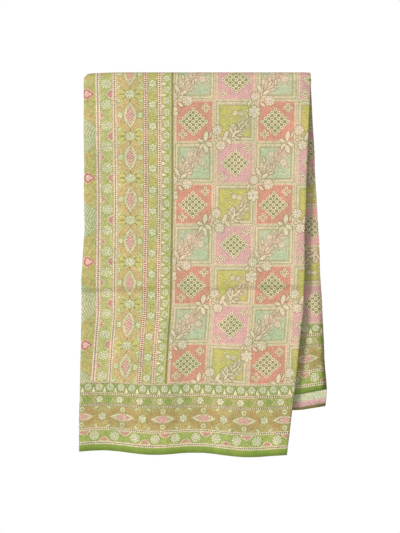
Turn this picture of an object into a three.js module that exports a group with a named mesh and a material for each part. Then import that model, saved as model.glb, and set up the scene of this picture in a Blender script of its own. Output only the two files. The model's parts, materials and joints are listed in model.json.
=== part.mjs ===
// A silk sari, woven in one piece, doubled end to end and folded back and forth into a narrow stack,
// which hangs over a thin rail as a long inverted U. Millimetres, +Z up, and -Y is the front.
// The origin is the middle of the line where the innermost section rests on the rail.
import * as THREE from "three";

// The cloth and its stack
const CLOTH_WIDTH = 1150; // selvedge to selvedge, up the front, over the rail and down the back
const THICKNESS = 1.0; // one section is two plies of silk
const RAIL_RADIUS = 4.5; // of the rail that the stack hangs over
const PITCH_AT_RAIL = 1.35; // from one section to the next, where the rail holds them together
const PITCH_GROWTH = { hem: 0.45, edge: 0.35 }; // how far the sections part at the hems and side folds
const EDGE_REACH = 45; // width of the lofted stretch beside a side fold
const FRONT_DROP = 610; // from the rail's axis to the front hem
const PLY_STEP = 24; // the innermost section's inner ply ends this much higher at the back
const GAP_CLOSES = 2.0; // each fall hangs this much nearer to the middle at its hem

// The side edges of each fall, as marks down it: share is the part of the fall above a mark
const EDGES = {
  front: [
    { share: 0, left: -186, right: 186 },
    { share: 0.28, left: -186, right: 179 },
    { share: 0.4, left: -184.5, right: 177 },
    { share: 0.53, left: -190.5, right: 175.5 },
    { share: 0.62, left: -189.5, right: 174 },
    { share: 0.8, left: -192.5, right: 161.5 },
    { share: 1, left: -194, right: 147 },
  ],
  back: [
    { share: 0, left: -186, right: 186 },
    { share: 0.5, left: -175, right: 200 },
    { share: 1, left: -161, right: 213 },
  ],
};
// Each side fold of the stack, in order along the cloth, from the tucked free ends to the doubled end.
// inset is how far in from the edge it lies at the front hem, over the rail and at the back hem. drop is
// how much lower than FRONT_DROP the front hem lies there.
const FOLDS = [
  { name: "free ends", side: 1, inset: [17, 18, 19], drop: -7 },
  { name: "left of the face", side: -1, inset: [0, 0, 0], drop: -8 },
  { name: "right of the face", side: 1, inset: [0, 0.5, 9], drop: 1 },
  { name: "left 2", side: -1, inset: [6, 9, 5], drop: -14 },
  { name: "right 2", side: 1, inset: [5, 3.5, 4], drop: -5 },
  { name: "left 3", side: -1, inset: [4, 7, 2], drop: -16 },
  { name: "right 3", side: 1, inset: [3, 2.5, 8], drop: -9 },
  { name: "left 4", side: -1, inset: [8, 8, 4], drop: -28 },
  { name: "doubled end", side: 1, inset: [7, 0, 0], drop: -20 },
];
// Where the section that starts at each fold lies in the stack, counted inwards from the face
const DEPTHS = [1, 0, 2, 3, 4, 5, 6, 7];

// Soft creases across a fall, where the stack was once folded over. at is measured from the rail's axis.
const CREASES = [
  { fall: "front", at: 338, depth: 3, reach: 18 },
  { fall: "back", at: 256, depth: 2.2, reach: 18 },
];
// Slow waves of a whole fall, which grow towards its hem. crest is where one stands furthest out, and
// sway is how much lower the hem hangs at a crest.
const WAVES = {
  front: { height: 3, length: 151, crest: 83, sway: 1.5 },
  back: { height: 2.4, length: 168, crest: 60, sway: 0 },
};
// The face's left fold reaches past the sections under it, and its corner droops there over the rail
const DROOP = 6;

// Steps of the mesh. The shares across a panel run from left to right, and those down a fall leave out
// the marks at its crease.
const PANEL_SHARES = [0, 0.02, 0.14, 0.33, 0.43, 0.53, 0.635, 0.74, 0.86, 0.94, 1];
const FALL_SHARES = { front: [0.1, 0.28, 0.4, 0.68, 0.84, 1], back: [0.12, 0.3, 0.64, 0.82, 1] };
const LEAST_STEP = 1; // beside a fold's own column
const TURN_STEPS = 2;
const ARC_STEPS = 8;

const INNERMOST = Math.max(...DEPTHS);
const AXIS_Z = -RAIL_RADIUS;
const BACK_DROP = CLOTH_WIDTH - FRONT_DROP - Math.PI * RAIL_RADIUS;
const HEM_SPREAD = 6; // power by which the sections part in length towards their hems
const smooth = (t) => t * t * (3 - 2 * t);
const clamp01 = (t) => Math.min(1, Math.max(0, t));
const mix = (a, b, t) => a + (b - a) * t;

// The rows of the mesh, from the front hem up, over the rail and down to the back hem. share is how far
// down its fall a row lies, and turn is its angle over the rail.
function rowsOfCloth() {
  const fall = (name, length) => {
    const crease = CREASES.find((c) => c.fall === name);
    const marks = [-1, 0, 1].map((k) => (crease.at + k * crease.reach) / length);
    const shares = [...FALL_SHARES[name], ...marks].sort((a, b) => a - b);
    return shares.map((share) => ({ fall: name, share, turn: name === "front" ? 0 : Math.PI }));
  };
  const arc = Array.from({ length: ARC_STEPS + 1 }, (_, i) => {
    const turn = (Math.PI * i) / ARC_STEPS;
    return { fall: turn < Math.PI / 2 ? "front" : "back", share: 0, turn };
  });
  return [...fall("front", FRONT_DROP).reverse(), ...arc, ...fall("back", BACK_DROP)];
}

// The side edges of a fall at a row
function edgesAt(row) {
  const marks = EDGES[row.fall];
  const next = Math.max(1, marks.findIndex((mark) => mark.share >= row.share));
  const [above, below] = [marks[next - 1], marks[next]];
  const between = (row.share - above.share) / (below.share - above.share);
  return { left: mix(above.left, below.left, between), right: mix(above.right, below.right, between) };
}

// The outermost line of a side fold at a row
function foldLine(fold, row) {
  const edges = edgesAt(row);
  const [atFront, atRail, atBack] = fold.inset;
  const inset = mix(atRail, row.fall === "front" ? atFront : atBack, row.share);
  return fold.side < 0 ? edges.left + inset : edges.right - inset;
}

// Distance between neighbouring sections at x
function pitchAt(x, row) {
  const { left, right } = edgesAt(row);
  const fromEdge = Math.min(x - left, right - x);
  const edge = 1 - smooth(clamp01(fromEdge / EDGE_REACH));
  const hanging = smooth(clamp01(row.share * 4));
  return PITCH_AT_RAIL + PITCH_GROWTH.hem * row.share ** 2 + PITCH_GROWTH.edge * edge * hanging;
}

// Height of a fall's wave at x, from -1 in a hollow to 1 on a crest
function waveAt(x, wave) {
  return Math.cos((2 * Math.PI * (x - wave.crest)) / wave.length);
}

// How far the whole stack stands out from its flat fall at x
function reliefAt(x, below, row) {
  if (row.share === 0) return 0;
  const wave = WAVES[row.fall];
  let out = wave.height * row.share ** 2 * waveAt(x, wave);
  out -= GAP_CLOSES * row.share;
  for (const crease of CREASES) {
    if (crease.fall !== row.fall) continue;
    out -= crease.depth * (1 - smooth(clamp01(Math.abs(below - crease.at) / crease.reach)));
  }
  return out;
}

// The middle line of all sections at a row, as points with a normal in the plane of width and depth.
// layer counts outwards from the rail, and drop is the hem's drop there.
function middleLine(row) {
  const line = [];
  const { left, right } = edgesAt(row);
  const columns = PANEL_SHARES.map((share) => mix(left, right, share));
  const layerOf = (section) => INNERMOST - DEPTHS[section];
  const pitchBeside = (fold) => pitchAt(foldLine(fold, row), row);
  const turnAt = (i) => {
    const fold = FOLDS[i];
    const inner = i > 0 && i < DEPTHS.length;
    const from = inner ? layerOf(i - 1) : 0;
    const to = inner ? layerOf(i) : 0;
    const radius = (Math.abs(from - to) * pitchBeside(fold)) / 2;
    const reach = inner ? radius + THICKNESS / 2 : 0;
    return { fold, from, to, radius, centre: foldLine(fold, row) - fold.side * reach };
  };
  for (let section = 0; section < DEPTHS.length; section++) {
    const start = turnAt(section);
    const end = turnAt(section + 1);
    const facing = section % 2 === 0 ? 1 : -1;
    const lowest = Math.min(start.centre, end.centre) + LEAST_STEP;
    const highest = Math.max(start.centre, end.centre) - LEAST_STEP;
    const inside = columns.slice(1, -1).map((x) => Math.min(highest, Math.max(lowest, x)));
    if (start.fold.side > 0) inside.reverse();
    for (const x of [start.centre, ...inside, end.centre]) {
      const share = (x - start.centre) / (end.centre - start.centre);
      line.push({
        section,
        x,
        layer: layerOf(section),
        lift: 0,
        normal: [0, facing],
        drop: mix(start.fold.drop, end.fold.drop, share),
      });
    }
    if (section + 1 === DEPTHS.length) break;
    for (let i = 1; i < TURN_STEPS; i++) {
      const angle = (Math.PI * i) / TURN_STEPS;
      const outwards = end.to > end.from ? 1 : -1;
      const across = end.fold.side * Math.sin(angle);
      const along = -outwards * Math.cos(angle);
      line.push({
        section: -1,
        x: end.centre + across * end.radius,
        layer: (end.from + end.to) / 2,
        lift: along * end.radius,
        normal: [-facing * outwards * across, -facing * outwards * along],
        drop: end.fold.drop,
      });
    }
  }
  return line;
}

// A point of the stack in the part's frame
function place(point, sign, row, lastRow) {
  const x = point.x + sign * point.normal[0] * (THICKNESS / 2);
  const offset = point.lift + sign * point.normal[1] * (THICKNESS / 2);
  const depth = THICKNESS / 2 + point.layer * pitchAt(point.x, row) + offset;
  const front = FRONT_DROP + point.drop + WAVES.front.sway * waveAt(point.x, WAVES.front);
  const middle = RAIL_RADIUS + THICKNESS / 2 + point.layer * PITCH_AT_RAIL;
  const back = CLOTH_WIDTH - front - Math.PI * middle;
  const [usual, own] = row.fall === "front" ? [FRONT_DROP, front] : [BACK_DROP, back];
  let below = row.share * usual + (own - usual) * row.share ** HEM_SPREAD;
  const innerFace = point.section === DEPTHS.length - 1 && sign * point.normal[1] < 0;
  if (innerFace && lastRow) {
    const start = foldLine(FOLDS[FOLDS.length - 2], row);
    const end = foldLine(FOLDS[FOLDS.length - 1], row);
    below -= PLY_STEP * smooth(clamp01((x - start) / (end - start)));
  }
  const radius = RAIL_RADIUS + depth + reliefAt(x, below, row);
  const { left, right } = edgesAt(row);
  const overhang = clamp01(1 - (x - left) / (right - left) / PANEL_SHARES[1]);
  const droop = DROOP * smooth(overhang) * Math.sin(row.turn);
  return new THREE.Vector3(
    x,
    -radius * Math.cos(row.turn),
    AXIS_Z - below + radius * Math.sin(row.turn) - droop,
  );
}

// The closed skin of the stack: one ring of points for each row, and a ribbon that closes each hem
function drapedStack() {
  const rows = rowsOfCloth();
  const points = [];
  let half = 0;
  rows.forEach((row, r) => {
    const line = middleLine(row);
    half = line.length;
    const lastRow = r === rows.length - 1;
    for (const point of line) points.push(place(point, 1, row, lastRow));
    for (const point of [...line].reverse()) points.push(place(point, -1, row, lastRow));
  });
  const ring = 2 * half;
  const triangles = [];
  // Every skin is split along the same slant, so that neighbouring skins bend alike
  const quad = (a, b, c, d) => {
    const rightwards = points[b].x > points[a].x;
    triangles.push(...(rightwards ? [a, c, b, a, d, c] : [a, d, b, b, d, c]));
  };
  for (let r = 0; r + 1 < rows.length; r++) {
    for (let i = 0; i < ring; i++) {
      const next = (i + 1) % ring;
      quad(r * ring + i, r * ring + next, (r + 1) * ring + next, (r + 1) * ring + i);
    }
  }
  const lastRing = (rows.length - 1) * ring;
  for (let i = 0; i + 1 < half; i++) {
    const opposite = ring - 1 - i;
    quad(opposite, opposite - 1, i + 1, i);
    quad(lastRing + i, lastRing + i + 1, lastRing + opposite - 1, lastRing + opposite);
  }
  const geometry = new THREE.BufferGeometry().setFromPoints(points);
  geometry.setIndex(triangles);
  geometry.computeVertexNormals();
  return geometry;
}

const silk = new THREE.MeshStandardMaterial({ color: 0xc9c58a, roughness: 0.55, metalness: 0.05 });
silk.side = THREE.DoubleSide;

const sari = new THREE.Mesh(drapedStack(), silk);
sari.name = "sari";

const part = new THREE.Group();
part.add(sari);

export default part;
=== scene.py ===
import json
import math

import bpy
from bpy.props import FloatProperty, FloatVectorProperty, PointerProperty
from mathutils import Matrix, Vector

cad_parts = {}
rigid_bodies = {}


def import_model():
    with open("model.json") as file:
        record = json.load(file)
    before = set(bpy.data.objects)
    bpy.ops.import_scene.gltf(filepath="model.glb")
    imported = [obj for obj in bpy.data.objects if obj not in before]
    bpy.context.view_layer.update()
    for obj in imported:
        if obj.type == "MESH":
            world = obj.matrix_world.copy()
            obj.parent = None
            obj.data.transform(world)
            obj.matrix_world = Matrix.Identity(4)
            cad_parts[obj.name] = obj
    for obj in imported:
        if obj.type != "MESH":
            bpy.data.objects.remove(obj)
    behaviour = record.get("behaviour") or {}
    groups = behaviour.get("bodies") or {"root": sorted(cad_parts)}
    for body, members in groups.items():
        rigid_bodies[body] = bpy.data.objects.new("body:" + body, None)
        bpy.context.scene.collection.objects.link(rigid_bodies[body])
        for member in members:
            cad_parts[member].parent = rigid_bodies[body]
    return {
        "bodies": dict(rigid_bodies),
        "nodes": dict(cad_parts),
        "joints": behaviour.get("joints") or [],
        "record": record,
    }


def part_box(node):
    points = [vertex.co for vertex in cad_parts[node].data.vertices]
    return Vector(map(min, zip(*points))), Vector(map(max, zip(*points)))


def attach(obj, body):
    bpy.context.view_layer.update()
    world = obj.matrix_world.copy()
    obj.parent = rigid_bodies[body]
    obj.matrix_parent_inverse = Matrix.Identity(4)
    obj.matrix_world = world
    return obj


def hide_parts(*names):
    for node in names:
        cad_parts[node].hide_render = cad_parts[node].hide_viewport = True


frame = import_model()

bl_info = {
    "name": "Folded brocade sari",
    "version": (1, 0, 0),
    "blender": (4, 5, 0),
    "location": "View3D > Sidebar > Sari",
    "description": "Folds a brocaded silk sari over a thin rail and sets a plain studio stage",
    "category": "Object",
}

MM = 0.001

# The side edges of each fall: share is the part of the fall above a mark
EDGES = {
    "front": [
        (0.00, -0.186, 0.186),
        (0.28, -0.186, 0.179),
        (0.40, -0.1845, 0.177),
        (0.53, -0.1905, 0.1755),
        (0.62, -0.1895, 0.174),
        (0.80, -0.1925, 0.1615),
        (1.00, -0.194, 0.147),
    ],
    "back": [
        (0.00, -0.186, 0.186),
        (0.50, -0.175, 0.200),
        (1.00, -0.161, 0.213),
    ],
}
# Each side fold in order along the cloth: its side, its inset from the edge at the front hem, over the
# rail and at the back hem, and how much lower than the usual drop the front hem lies there
FOLDS = [
    ("free ends", 1, (0.017, 0.018, 0.019), -0.007),
    ("left of the face", -1, (0.000, 0.000, 0.000), -0.0045),
    ("right of the face", 1, (0.000, 0.0005, 0.009), 0.004),
    ("left 2", -1, (0.006, 0.009, 0.005), -0.014),
    ("right 2", 1, (0.005, 0.0035, 0.004), -0.005),
    ("left 3", -1, (0.004, 0.007, 0.002), -0.016),
    ("right 3", 1, (0.003, 0.0025, 0.008), -0.009),
    ("left 4", -1, (0.008, 0.008, 0.004), -0.0205),
    ("doubled end", 1, (0.007, 0.000, 0.000), -0.0125),
]
# Where the section that starts at each fold lies in the stack, counted inwards from the face
DEPTHS = [1, 0, 2, 3, 4, 5, 6, 7]
FACE = 1
INNERMOST = 7

# Creases across a fall, where the stack was once folded over: the cloth steps back below at, which is
# measured from the rail's axis. The step fades around faint, and climbs by rise from left to right.
CREASES = [
    {"fall": "front", "at": 0.3395, "step": 0.0042, "reach": 0.0055, "faint": -0.022, "rise": 0.006},
    {"fall": "back", "at": 0.2560, "step": 0.0022, "reach": 0.0080, "faint": 0.080, "rise": -0.003},
]
CREASE_SPREAD = (0.110, 0.080)  # how far above and below the step the fall leans away from its place
FAINT_WIDTH = 0.070
FAINT_SHARE = 0.9
# Slow waves of a whole fall, which grow towards its hem
WAVES = {
    "front": {"height": 0.003, "length": 0.154, "crest": 0.079, "sway": 0.0024},
    "back": {"height": 0.0024, "length": 0.168, "crest": 0.060, "sway": 0.0},
}
# Small creases of the face alone, as soft ridges from one point to another, x and depth below the axis
FACE_RIDGES = [
    {"start": (0.052, 0.572), "end": (0.040, 0.612), "height": 0.0030, "reach": 0.007},
    {"start": (0.006, 0.585), "end": (-0.004, 0.612), "height": 0.0014, "reach": 0.010},
    {"start": (-0.120, 0.300), "end": (-0.060, 0.322), "height": 0.0010, "reach": 0.012},
    {"start": (0.060, 0.318), "end": (0.150, 0.300), "height": 0.0012, "reach": 0.013},
    {"start": (0.020, 0.345), "end": (0.052, 0.400), "height": 0.0012, "reach": 0.016},
    {"start": (0.150, 0.250), "end": (0.165, 0.330), "height": 0.0010, "reach": 0.009},
    {"start": (0.120, 0.540), "end": (0.132, 0.606), "height": 0.0016, "reach": 0.012},
    {"start": (-0.150, 0.560), "end": (-0.158, 0.600), "height": 0.0012, "reach": 0.012},
]

# Two lines of the weave on the face, by the share of the fall above: the line between pallu and body, and
# the line three checks into the body
LINES_ON_FACE = {
    "front": [
        (0.000, -0.0386, 0.1638),
        (0.331, -0.0388, 0.1589),
        (0.547, -0.0410, 0.1558),
        (0.620, -0.0420, 0.1525),
        (0.700, -0.0460, 0.1485),
        (0.800, -0.0495, 0.1460),
        (0.911, -0.0513, 0.1485),
        (1.000, -0.0530, 0.1468),
    ],
    "back": [
        (0.0, -0.0386, 0.1638),
        (1.0, -0.0110, 0.1888),
    ],
}
CHECKS_BETWEEN_LINES = 3
# How far inside the doubled end the first ringed check of the strip is centred
STRIP_CENTRE = 0.0102
# The front fall shows a little less cloth than it is long, and its checks sag in the middle of the body
FRONT_TAKE_UP = 0.9945
SAG = 0.0055
SAG_REACH = 0.060
# The strip's border lies this much higher than its hem would put it
STRIP_SHIFT = 0.0070
STRIP_SHIFT_REACH = 0.120
# How far from a side fold the face and the strip are back on their neighbours
LOFT_EDGE = 0.012
# Length of cloth in the turn where it is doubled
DOUBLED_TURN = 0.0008

COMMON_COLUMNS = [0.06, 0.13, 0.205, 0.28, 0.36, 0.44, 0.52, 0.60, 0.68, 0.76, 0.83, 0.89, 0.94]
FRONT_ROWS = 60
BACK_ROWS = 46
ARC_ROWS = 14
CREASE_ROWS = 7
CREASE_ROW_STEP = 0.003
GOLDEN = 2.39996  # an angle that puts each fold's stray at another phase
# How often a side fold strays along a fall, in radians over its height, and the share of the finer stray
STRAYS = (23, 41)
FINE_STRAY = 0.6
# Width at the left edge where the stack is packed closer over the rail, and by how much
PACKED_WIDTH = 0.060
PACKED_SHARE = 0.2
# Share of the fall's width that droops at its left corner over the rail
DROOP_SHARE = 0.02
# Width of the rise at the right end of the back hem
RISE_WIDTH = 0.05


def smooth(t):
    return t * t * (3 - 2 * t)


def clamp01(t):
    return min(1.0, max(0.0, t))


def mix(a, b, t):
    return a + (b - a) * t


def linear(code):
    """A colour as light, from its usual six-figure code."""
    parts = [int(code[i:i + 2], 16) / 255 for i in (0, 2, 4)]
    return [c / 12.92 if c <= 0.04045 else ((c + 0.055) / 1.055) ** 2.4 for c in parts]


def length(name, description, default):
    return FloatProperty(name=name, description=description, default=default, unit="LENGTH", precision=5)


def angle(name, description, degrees):
    default = math.radians(degrees)
    return FloatProperty(name=name, description=description, default=default, subtype="ANGLE")


def tint(name, description, code):
    return FloatVectorProperty(
        name=name, description=description, default=linear(code), subtype="COLOR", min=0, max=1,
    )


class SariDrapeSizes(bpy.types.PropertyGroup):
    """How the cloth is folded and hung."""

    cloth_width: length("Cloth width", "From selvedge to selvedge", 1.150)
    ply: length("Silk thickness", "Thickness of one ply of silk", 0.00035)
    section: length("Section thickness", "Thickness of a section of two plies", 0.001)
    rail_radius: length("Rail radius", "Radius of the rail under the stack", 0.0045)
    pitch: length("Pitch at the rail", "From one section to the next, over the rail", 0.00135)
    hem_growth: length("Hem growth", "How far the pitch grows towards the hems", 0.00045)
    edge_growth: length("Edge growth", "How far the pitch grows towards the side folds", 0.00035)
    edge_reach: length("Edge reach", "Width of the lofted stretch beside a side fold", 0.045)
    front_drop: length("Front drop", "From the rail's axis to the front hem", 0.610)
    gap_closes: length("Gap closes", "How much nearer to the middle each fall hangs at its hem", 0.002)
    ply_step: length("Step of the plies", "How much higher the innermost ply ends at the back", 0.0275)
    ply_edge: length("Edge of the lower ply", "How far inside the upper ply's edge it ends", 0.0026)
    strip_rise: length("Rise of the strip", "How much the back hem rises at its right edge", 0.0017)
    droop: length("Droop", "How far the face droops at its left corner over the rail", 0.006)
    wobble: length("Wobble", "How far a side fold strays from its line", 0.0007)
    loft: length("Loft", "How far the outer plies stand off the stack", 0.0005)


class SariDraftSizes(bpy.types.PropertyGroup):
    """The repeats of the woven pattern."""

    check_height: length("Check height", "Across the cloth, from one check to the next", 0.06574)
    border: length("Border", "Width of each woven border with its selvedge", 0.1148)
    check_length: length("Check length", "Along the cloth, from one check to the next", 0.0666)
    end_repeat: length("Border repeat", "From one almond to the next in the border", 0.0664)
    end_scale: FloatProperty(
        name="Pallu scale", description="Repeat of the pallu's bands against the border's", default=1.0276,
    )


class SariDyes(bpy.types.PropertyGroup):
    """The colours of the silk and the zari."""

    coral: tint("Coral", "Ground of one check", "D2957A")
    pink: tint("Pink", "Ground of one check", "D8A9A0")
    olive: tint("Olive yellow", "Ground of one check", "C4BC66")
    mint: tint("Mint", "Ground of one check", "BAC49C")
    cream: tint("Cream", "Zari of the vine", "E4D6B4")
    ring: tint("Ring", "Zari of the ringed diamonds", "E2DAB0")
    khaki: tint("Khaki", "Middle of the frames", "C7B892")
    frame_light: tint("Frame, light", "Light lines of the frames", "DACFA6")
    frame_dark: tint("Frame, dark", "Dark lines of the frames", "A89A66")
    blush: tint("Blush", "Thin margins of the ringed checks", "E0C2A0")
    moss: tint("Moss", "Ground of the ringed diamonds", "908A54")
    hole: tint("Hole", "Middles of the rings", "84643F")
    rim: tint("Rim", "Outlines of the rings", "A4785A")
    outline: tint("Outline", "Outlines of the vine", "98845A")
    rosewood: tint("Rosewood", "Outlines in the mint checks", "BE8C78")
    heart: tint("Heart", "Centres of the flowers", "C4B8AC")
    pallu_narrow: tint("Pallu, narrow bands", "Ground of the pallu's narrow bands", "C1BD78")
    pallu_main: tint("Pallu, main band", "Ground of the pallu's main band", "C8BE7D")
    field: tint("Pallu, field", "Ground of the pallu beyond its bands", "BEB676")
    border_daisies: tint("Border, daisies", "Ground of the row of daisies", "A5A869")
    border_narrow: tint("Border, narrow band", "Ground of the narrow band", "AEAA64")
    border_main: tint("Border, main band", "Ground of the main band", "B6A566")
    border_rosettes: tint("Border, rosettes", "Ground of the rosette band", "A4B05C")
    selvedge: tint("Selvedge", "Plain edge of the cloth", "8BA340")
    shade: tint("Shade", "Dark outlines of the bands", "8C8750")
    leaf: tint("Leaf", "Green patches and bars", "8CAA48")
    cup: tint("Cup", "Dark curves and rays", "767C3C")
    amber: tint("Amber", "Yellow patches of the pallu", "CDC064")
    curl: tint("Curl", "Pale curls of the narrow band", "D2C896")
    petal: tint("Petal", "Flowers of the narrow and rosette bands", "D8D6A8")
    daisy: tint("Daisy", "Daisies beside the body", "CED4A4")
    mint_petal: tint("Mint petal", "Stars and buds of the main band", "CED0A0")
    spike: tint("Spike", "Spikes between the daisies", "E6DCB0")
    orange: tint("Orange", "Curved leaves of the pallu", "D8B47C")
    border_orange: tint("Orange, border", "Curved leaves of the border", "BC9A5C")
    almond: tint("Almond", "Almonds of the main band", "C8C291")
    gem: tint("Gem", "Pink of the almonds and the buds", "DAAC98")
    ruby: tint("Ruby", "Dots of the almonds and rims of the buds", "B04658")
    dome: tint("Dome", "Domes of the rosette band", "D2A688")
    dots_red: tint("Dots, red", "Dots of the inner guards", "A83C4A")
    dots_dark: tint("Dots, dark", "Dots of the outer guards", "6A3C34")
    guard_pink: tint("Guard, pink", "Edges of the pallu's guards", "DAB294")
    guard_khaki: tint("Guard, khaki", "Edges of the border's guards", "C4B684")
    cream_guard: tint("Guard, pallu", "Middle of the pallu's guards", "ECDCBC")
    border_guard: tint("Guard, border", "Middle of the border's guards", "E2D8AE")
    arc_ground: tint("Arcs, ground", "Ground of the nested arcs", "BEC292")
    arc_line: tint("Arcs, lines", "Pale lines of the nested arcs", "D2D4AC")
    float_pale: tint("Floats, pale", "Thread that pales the wrong side", "E1D7C3")
    float_mint: tint("Floats, mint", "Wrong side of the bands", "C6CCA2")
    float_white: tint("Floats, white", "Loose floats of the wrong side", "EEE8DA")
    reverse_edge: tint("Wrong side, edge", "Wrong side of the selvedge", "968C50")


class SariStageSizes(bpy.types.PropertyGroup):
    """The camera and the floor."""

    camera_distance: length("Camera distance", "From the face of the cloth to the camera", 2.4)
    view_centre_x: length("View centre, sideways", "Where the camera points", 0.0041)
    view_centre_z: length("View centre, height", "Where the camera points", -0.3082)
    view_height: length("View height", "Height of the view at the face of the cloth", 0.8688)
    floor_below: length("Floor", "How far below the hem the floor lies", 1.0)
    floor_radius: length("Floor radius", "Radius of the round floor", 3.2)
    key_strength: FloatProperty(name="Key light", description="Strength of the soft sun", default=2.34)
    fill_strength: FloatProperty(name="Fill light", description="Light from all round", default=0.20)
    front_strength: FloatProperty(name="Front light", description="Strength of the level sun", default=0.62)
    front_spread: angle("Front spread", "Width of the level sun", 60)
    key_height: angle("Key height", "Height of the soft sun above the level", 28)
    key_side: angle("Key side", "Turn of the soft sun to the left", 35)
    key_spread: angle("Key spread", "Width of the soft sun", 14)


def step_back(past, reach):
    """A fall that leans out above a crease, steps back over it and comes out again below."""
    above, below = CREASE_SPREAD
    if past < -reach:
        return smooth(clamp01(1 + (past + reach) / above))
    if past > reach:
        return -smooth(clamp01(1 - (past - reach) / below))
    return -math.sin(math.pi / 2 * past / reach)


def along_marks(marks, share):
    """The values of a list of marks at a share of the fall, each mark a share and its values."""
    below = next((i for i in range(1, len(marks)) if marks[i][0] >= share), len(marks) - 1)
    upper, lower = marks[below - 1], marks[below]
    between = (share - upper[0]) / (lower[0] - upper[0])
    return [mix(a, b, between) for a, b in zip(upper[1:], lower[1:])]


class Row:
    """One row of the sheet: a line across the stack, down a fall or over the rail."""

    def __init__(self, fall, share, turn):
        self.fall = fall
        self.share = share
        self.turn = turn
        self.left, self.right = along_marks(EDGES[fall], share)
        self.hanging = smooth(clamp01(share * 4))


class Station:
    """A column of the sheet at a row, before the ply's own offset."""

    def __init__(self, x, layer, lift, normal, drop):
        self.x = x
        self.layer = layer
        self.lift = lift
        self.normal = normal
        self.drop = drop


class Drape:
    """Works out where the cloth lies, from the same sizes as the solid."""

    def __init__(self, sizes):
        self.s = sizes
        self.axis_z = -sizes.rail_radius
        self.usual_back = sizes.cloth_width - sizes.front_drop - math.pi * sizes.rail_radius
        self.offset = sizes.section / 4

    def rows(self):
        """From the front hem up, over the rail and down to the back hem."""
        def fall(name, count, drop):
            shares = {i / count for i in range(1, count + 1)}
            for crease in CREASES:
                if crease["fall"] == name:
                    for k in range(-CREASE_ROWS, CREASE_ROWS + 1):
                        shares.add((crease["at"] + k * CREASE_ROW_STEP) / drop)
            turn = 0.0 if name == "front" else math.pi
            return [Row(name, share, turn) for share in sorted(shares)]

        arc = []
        for i in range(ARC_ROWS + 1):
            turn = math.pi * i / ARC_ROWS
            arc.append(Row("front" if turn < math.pi / 2 else "back", 0.0, turn))
        front = fall("front", FRONT_ROWS, self.s.front_drop)
        back = fall("back", BACK_ROWS, self.usual_back)
        return front[::-1] + arc + back

    def fold_line(self, index, row):
        """The outermost line of a side fold at a row."""
        _, side, inset, _ = FOLDS[index]
        inwards = mix(inset[1], inset[0] if row.fall == "front" else inset[2], row.share)
        stray = math.sin(row.share * STRAYS[0] + GOLDEN * index)
        stray += FINE_STRAY * math.sin(row.share * STRAYS[1] + 5 * index)
        inwards += self.s.wobble * (1 + stray) / 2 * row.hanging
        return row.left + inwards if side < 0 else row.right - inwards

    def pitch_at(self, x, row):
        """Distance between neighbouring sections at x."""
        from_edge = min(x - row.left, row.right - x)
        edge = 1 - smooth(clamp01(from_edge / self.s.edge_reach))
        pitch = self.s.pitch + self.s.hem_growth * row.share ** 2
        pitch += self.s.edge_growth * edge * row.hanging
        packed = smooth(clamp01(1 - (x - row.left) / PACKED_WIDTH)) * math.sin(row.turn)
        return pitch * (1 - PACKED_SHARE * packed)

    def wave_at(self, x, fall):
        wave = WAVES[fall]
        return math.cos(2 * math.pi * (x - wave["crest"]) / wave["length"])

    def relief_at(self, x, below, row):
        """How far the whole stack stands out from its flat fall."""
        if row.share == 0:
            return 0.0
        out = WAVES[row.fall]["height"] * row.share ** 2 * self.wave_at(x, row.fall)
        out -= self.s.gap_closes * row.share
        for crease in CREASES:
            if crease["fall"] != row.fall:
                continue
            across = clamp01((x - row.left) / (row.right - row.left))
            past = below - crease["at"] + crease["rise"] * (across - 0.5)
            faint = 1 - smooth(clamp01(abs(x - crease["faint"]) / FAINT_WIDTH))
            out += crease["step"] / 2 * (1 - FAINT_SHARE * faint) * step_back(past, crease["reach"])
        return out

    def turn_at(self, index, row):
        """Centre line, radius and layers of a side fold."""
        _, side, _, drop = FOLDS[index]
        line = self.fold_line(index, row)
        inner = 0 < index < len(DEPTHS)
        before = INNERMOST - DEPTHS[index - 1] if inner else 0
        after = INNERMOST - DEPTHS[index] if inner else 0
        radius = abs(before - after) * self.pitch_at(line, row) / 2
        reach = radius + self.s.section / 2 if inner else 0.0
        return side, line - side * reach, radius, before, after, drop

    def section_station(self, section, share, row):
        """A column inside a section. share runs from the left edge of the fall to its right edge."""
        _, start, _, _, _, drop_start = self.turn_at(section, row)
        _, end, _, _, _, drop_end = self.turn_at(section + 1, row)
        low, high = min(start, end), max(start, end)
        x = low if share <= 0 else high if share >= 1 else mix(row.left, row.right, share)
        x = min(high, max(low, x))
        along = (x - start) / (end - start)
        facing = 1 if section % 2 == 0 else -1
        drop = mix(drop_start, drop_end, along)
        return Station(x, INNERMOST - DEPTHS[section], 0.0, (0.0, facing), drop)

    def turn_station(self, index, angle, row):
        """A column on a side fold, angle 0 where the earlier section ends."""
        side, centre, radius, before, after, drop = self.turn_at(index, row)
        facing = 1 if (index - 1) % 2 == 0 else -1
        outwards = 1 if after > before else -1
        across = side * math.sin(angle)
        along = -outwards * math.cos(angle)
        normal = (-facing * outwards * across, -facing * outwards * along)
        return Station(centre + across * radius, (before + after) / 2, along * radius, normal, drop)

    def front_length(self, station):
        sway = WAVES["front"]["sway"] * self.wave_at(station.x, "front")
        return self.s.front_drop + station.drop + sway

    def back_length(self, station, raised, row):
        """raised is 1 on the ply of the innermost section that faces the rail, and 0 on all others."""
        middle = self.s.rail_radius + self.s.section / 2 + station.layer * self.s.pitch
        own = self.s.cloth_width - self.front_length(station) - math.pi * middle
        if station.layer == 0:
            own -= self.s.strip_rise * smooth(clamp01(1 - (row.right - station.x) / RISE_WIDTH))
            across = clamp01((station.x - row.left) / (row.right - row.left))
            own -= self.s.ply_step * smooth(across) * raised
        return own

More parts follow.
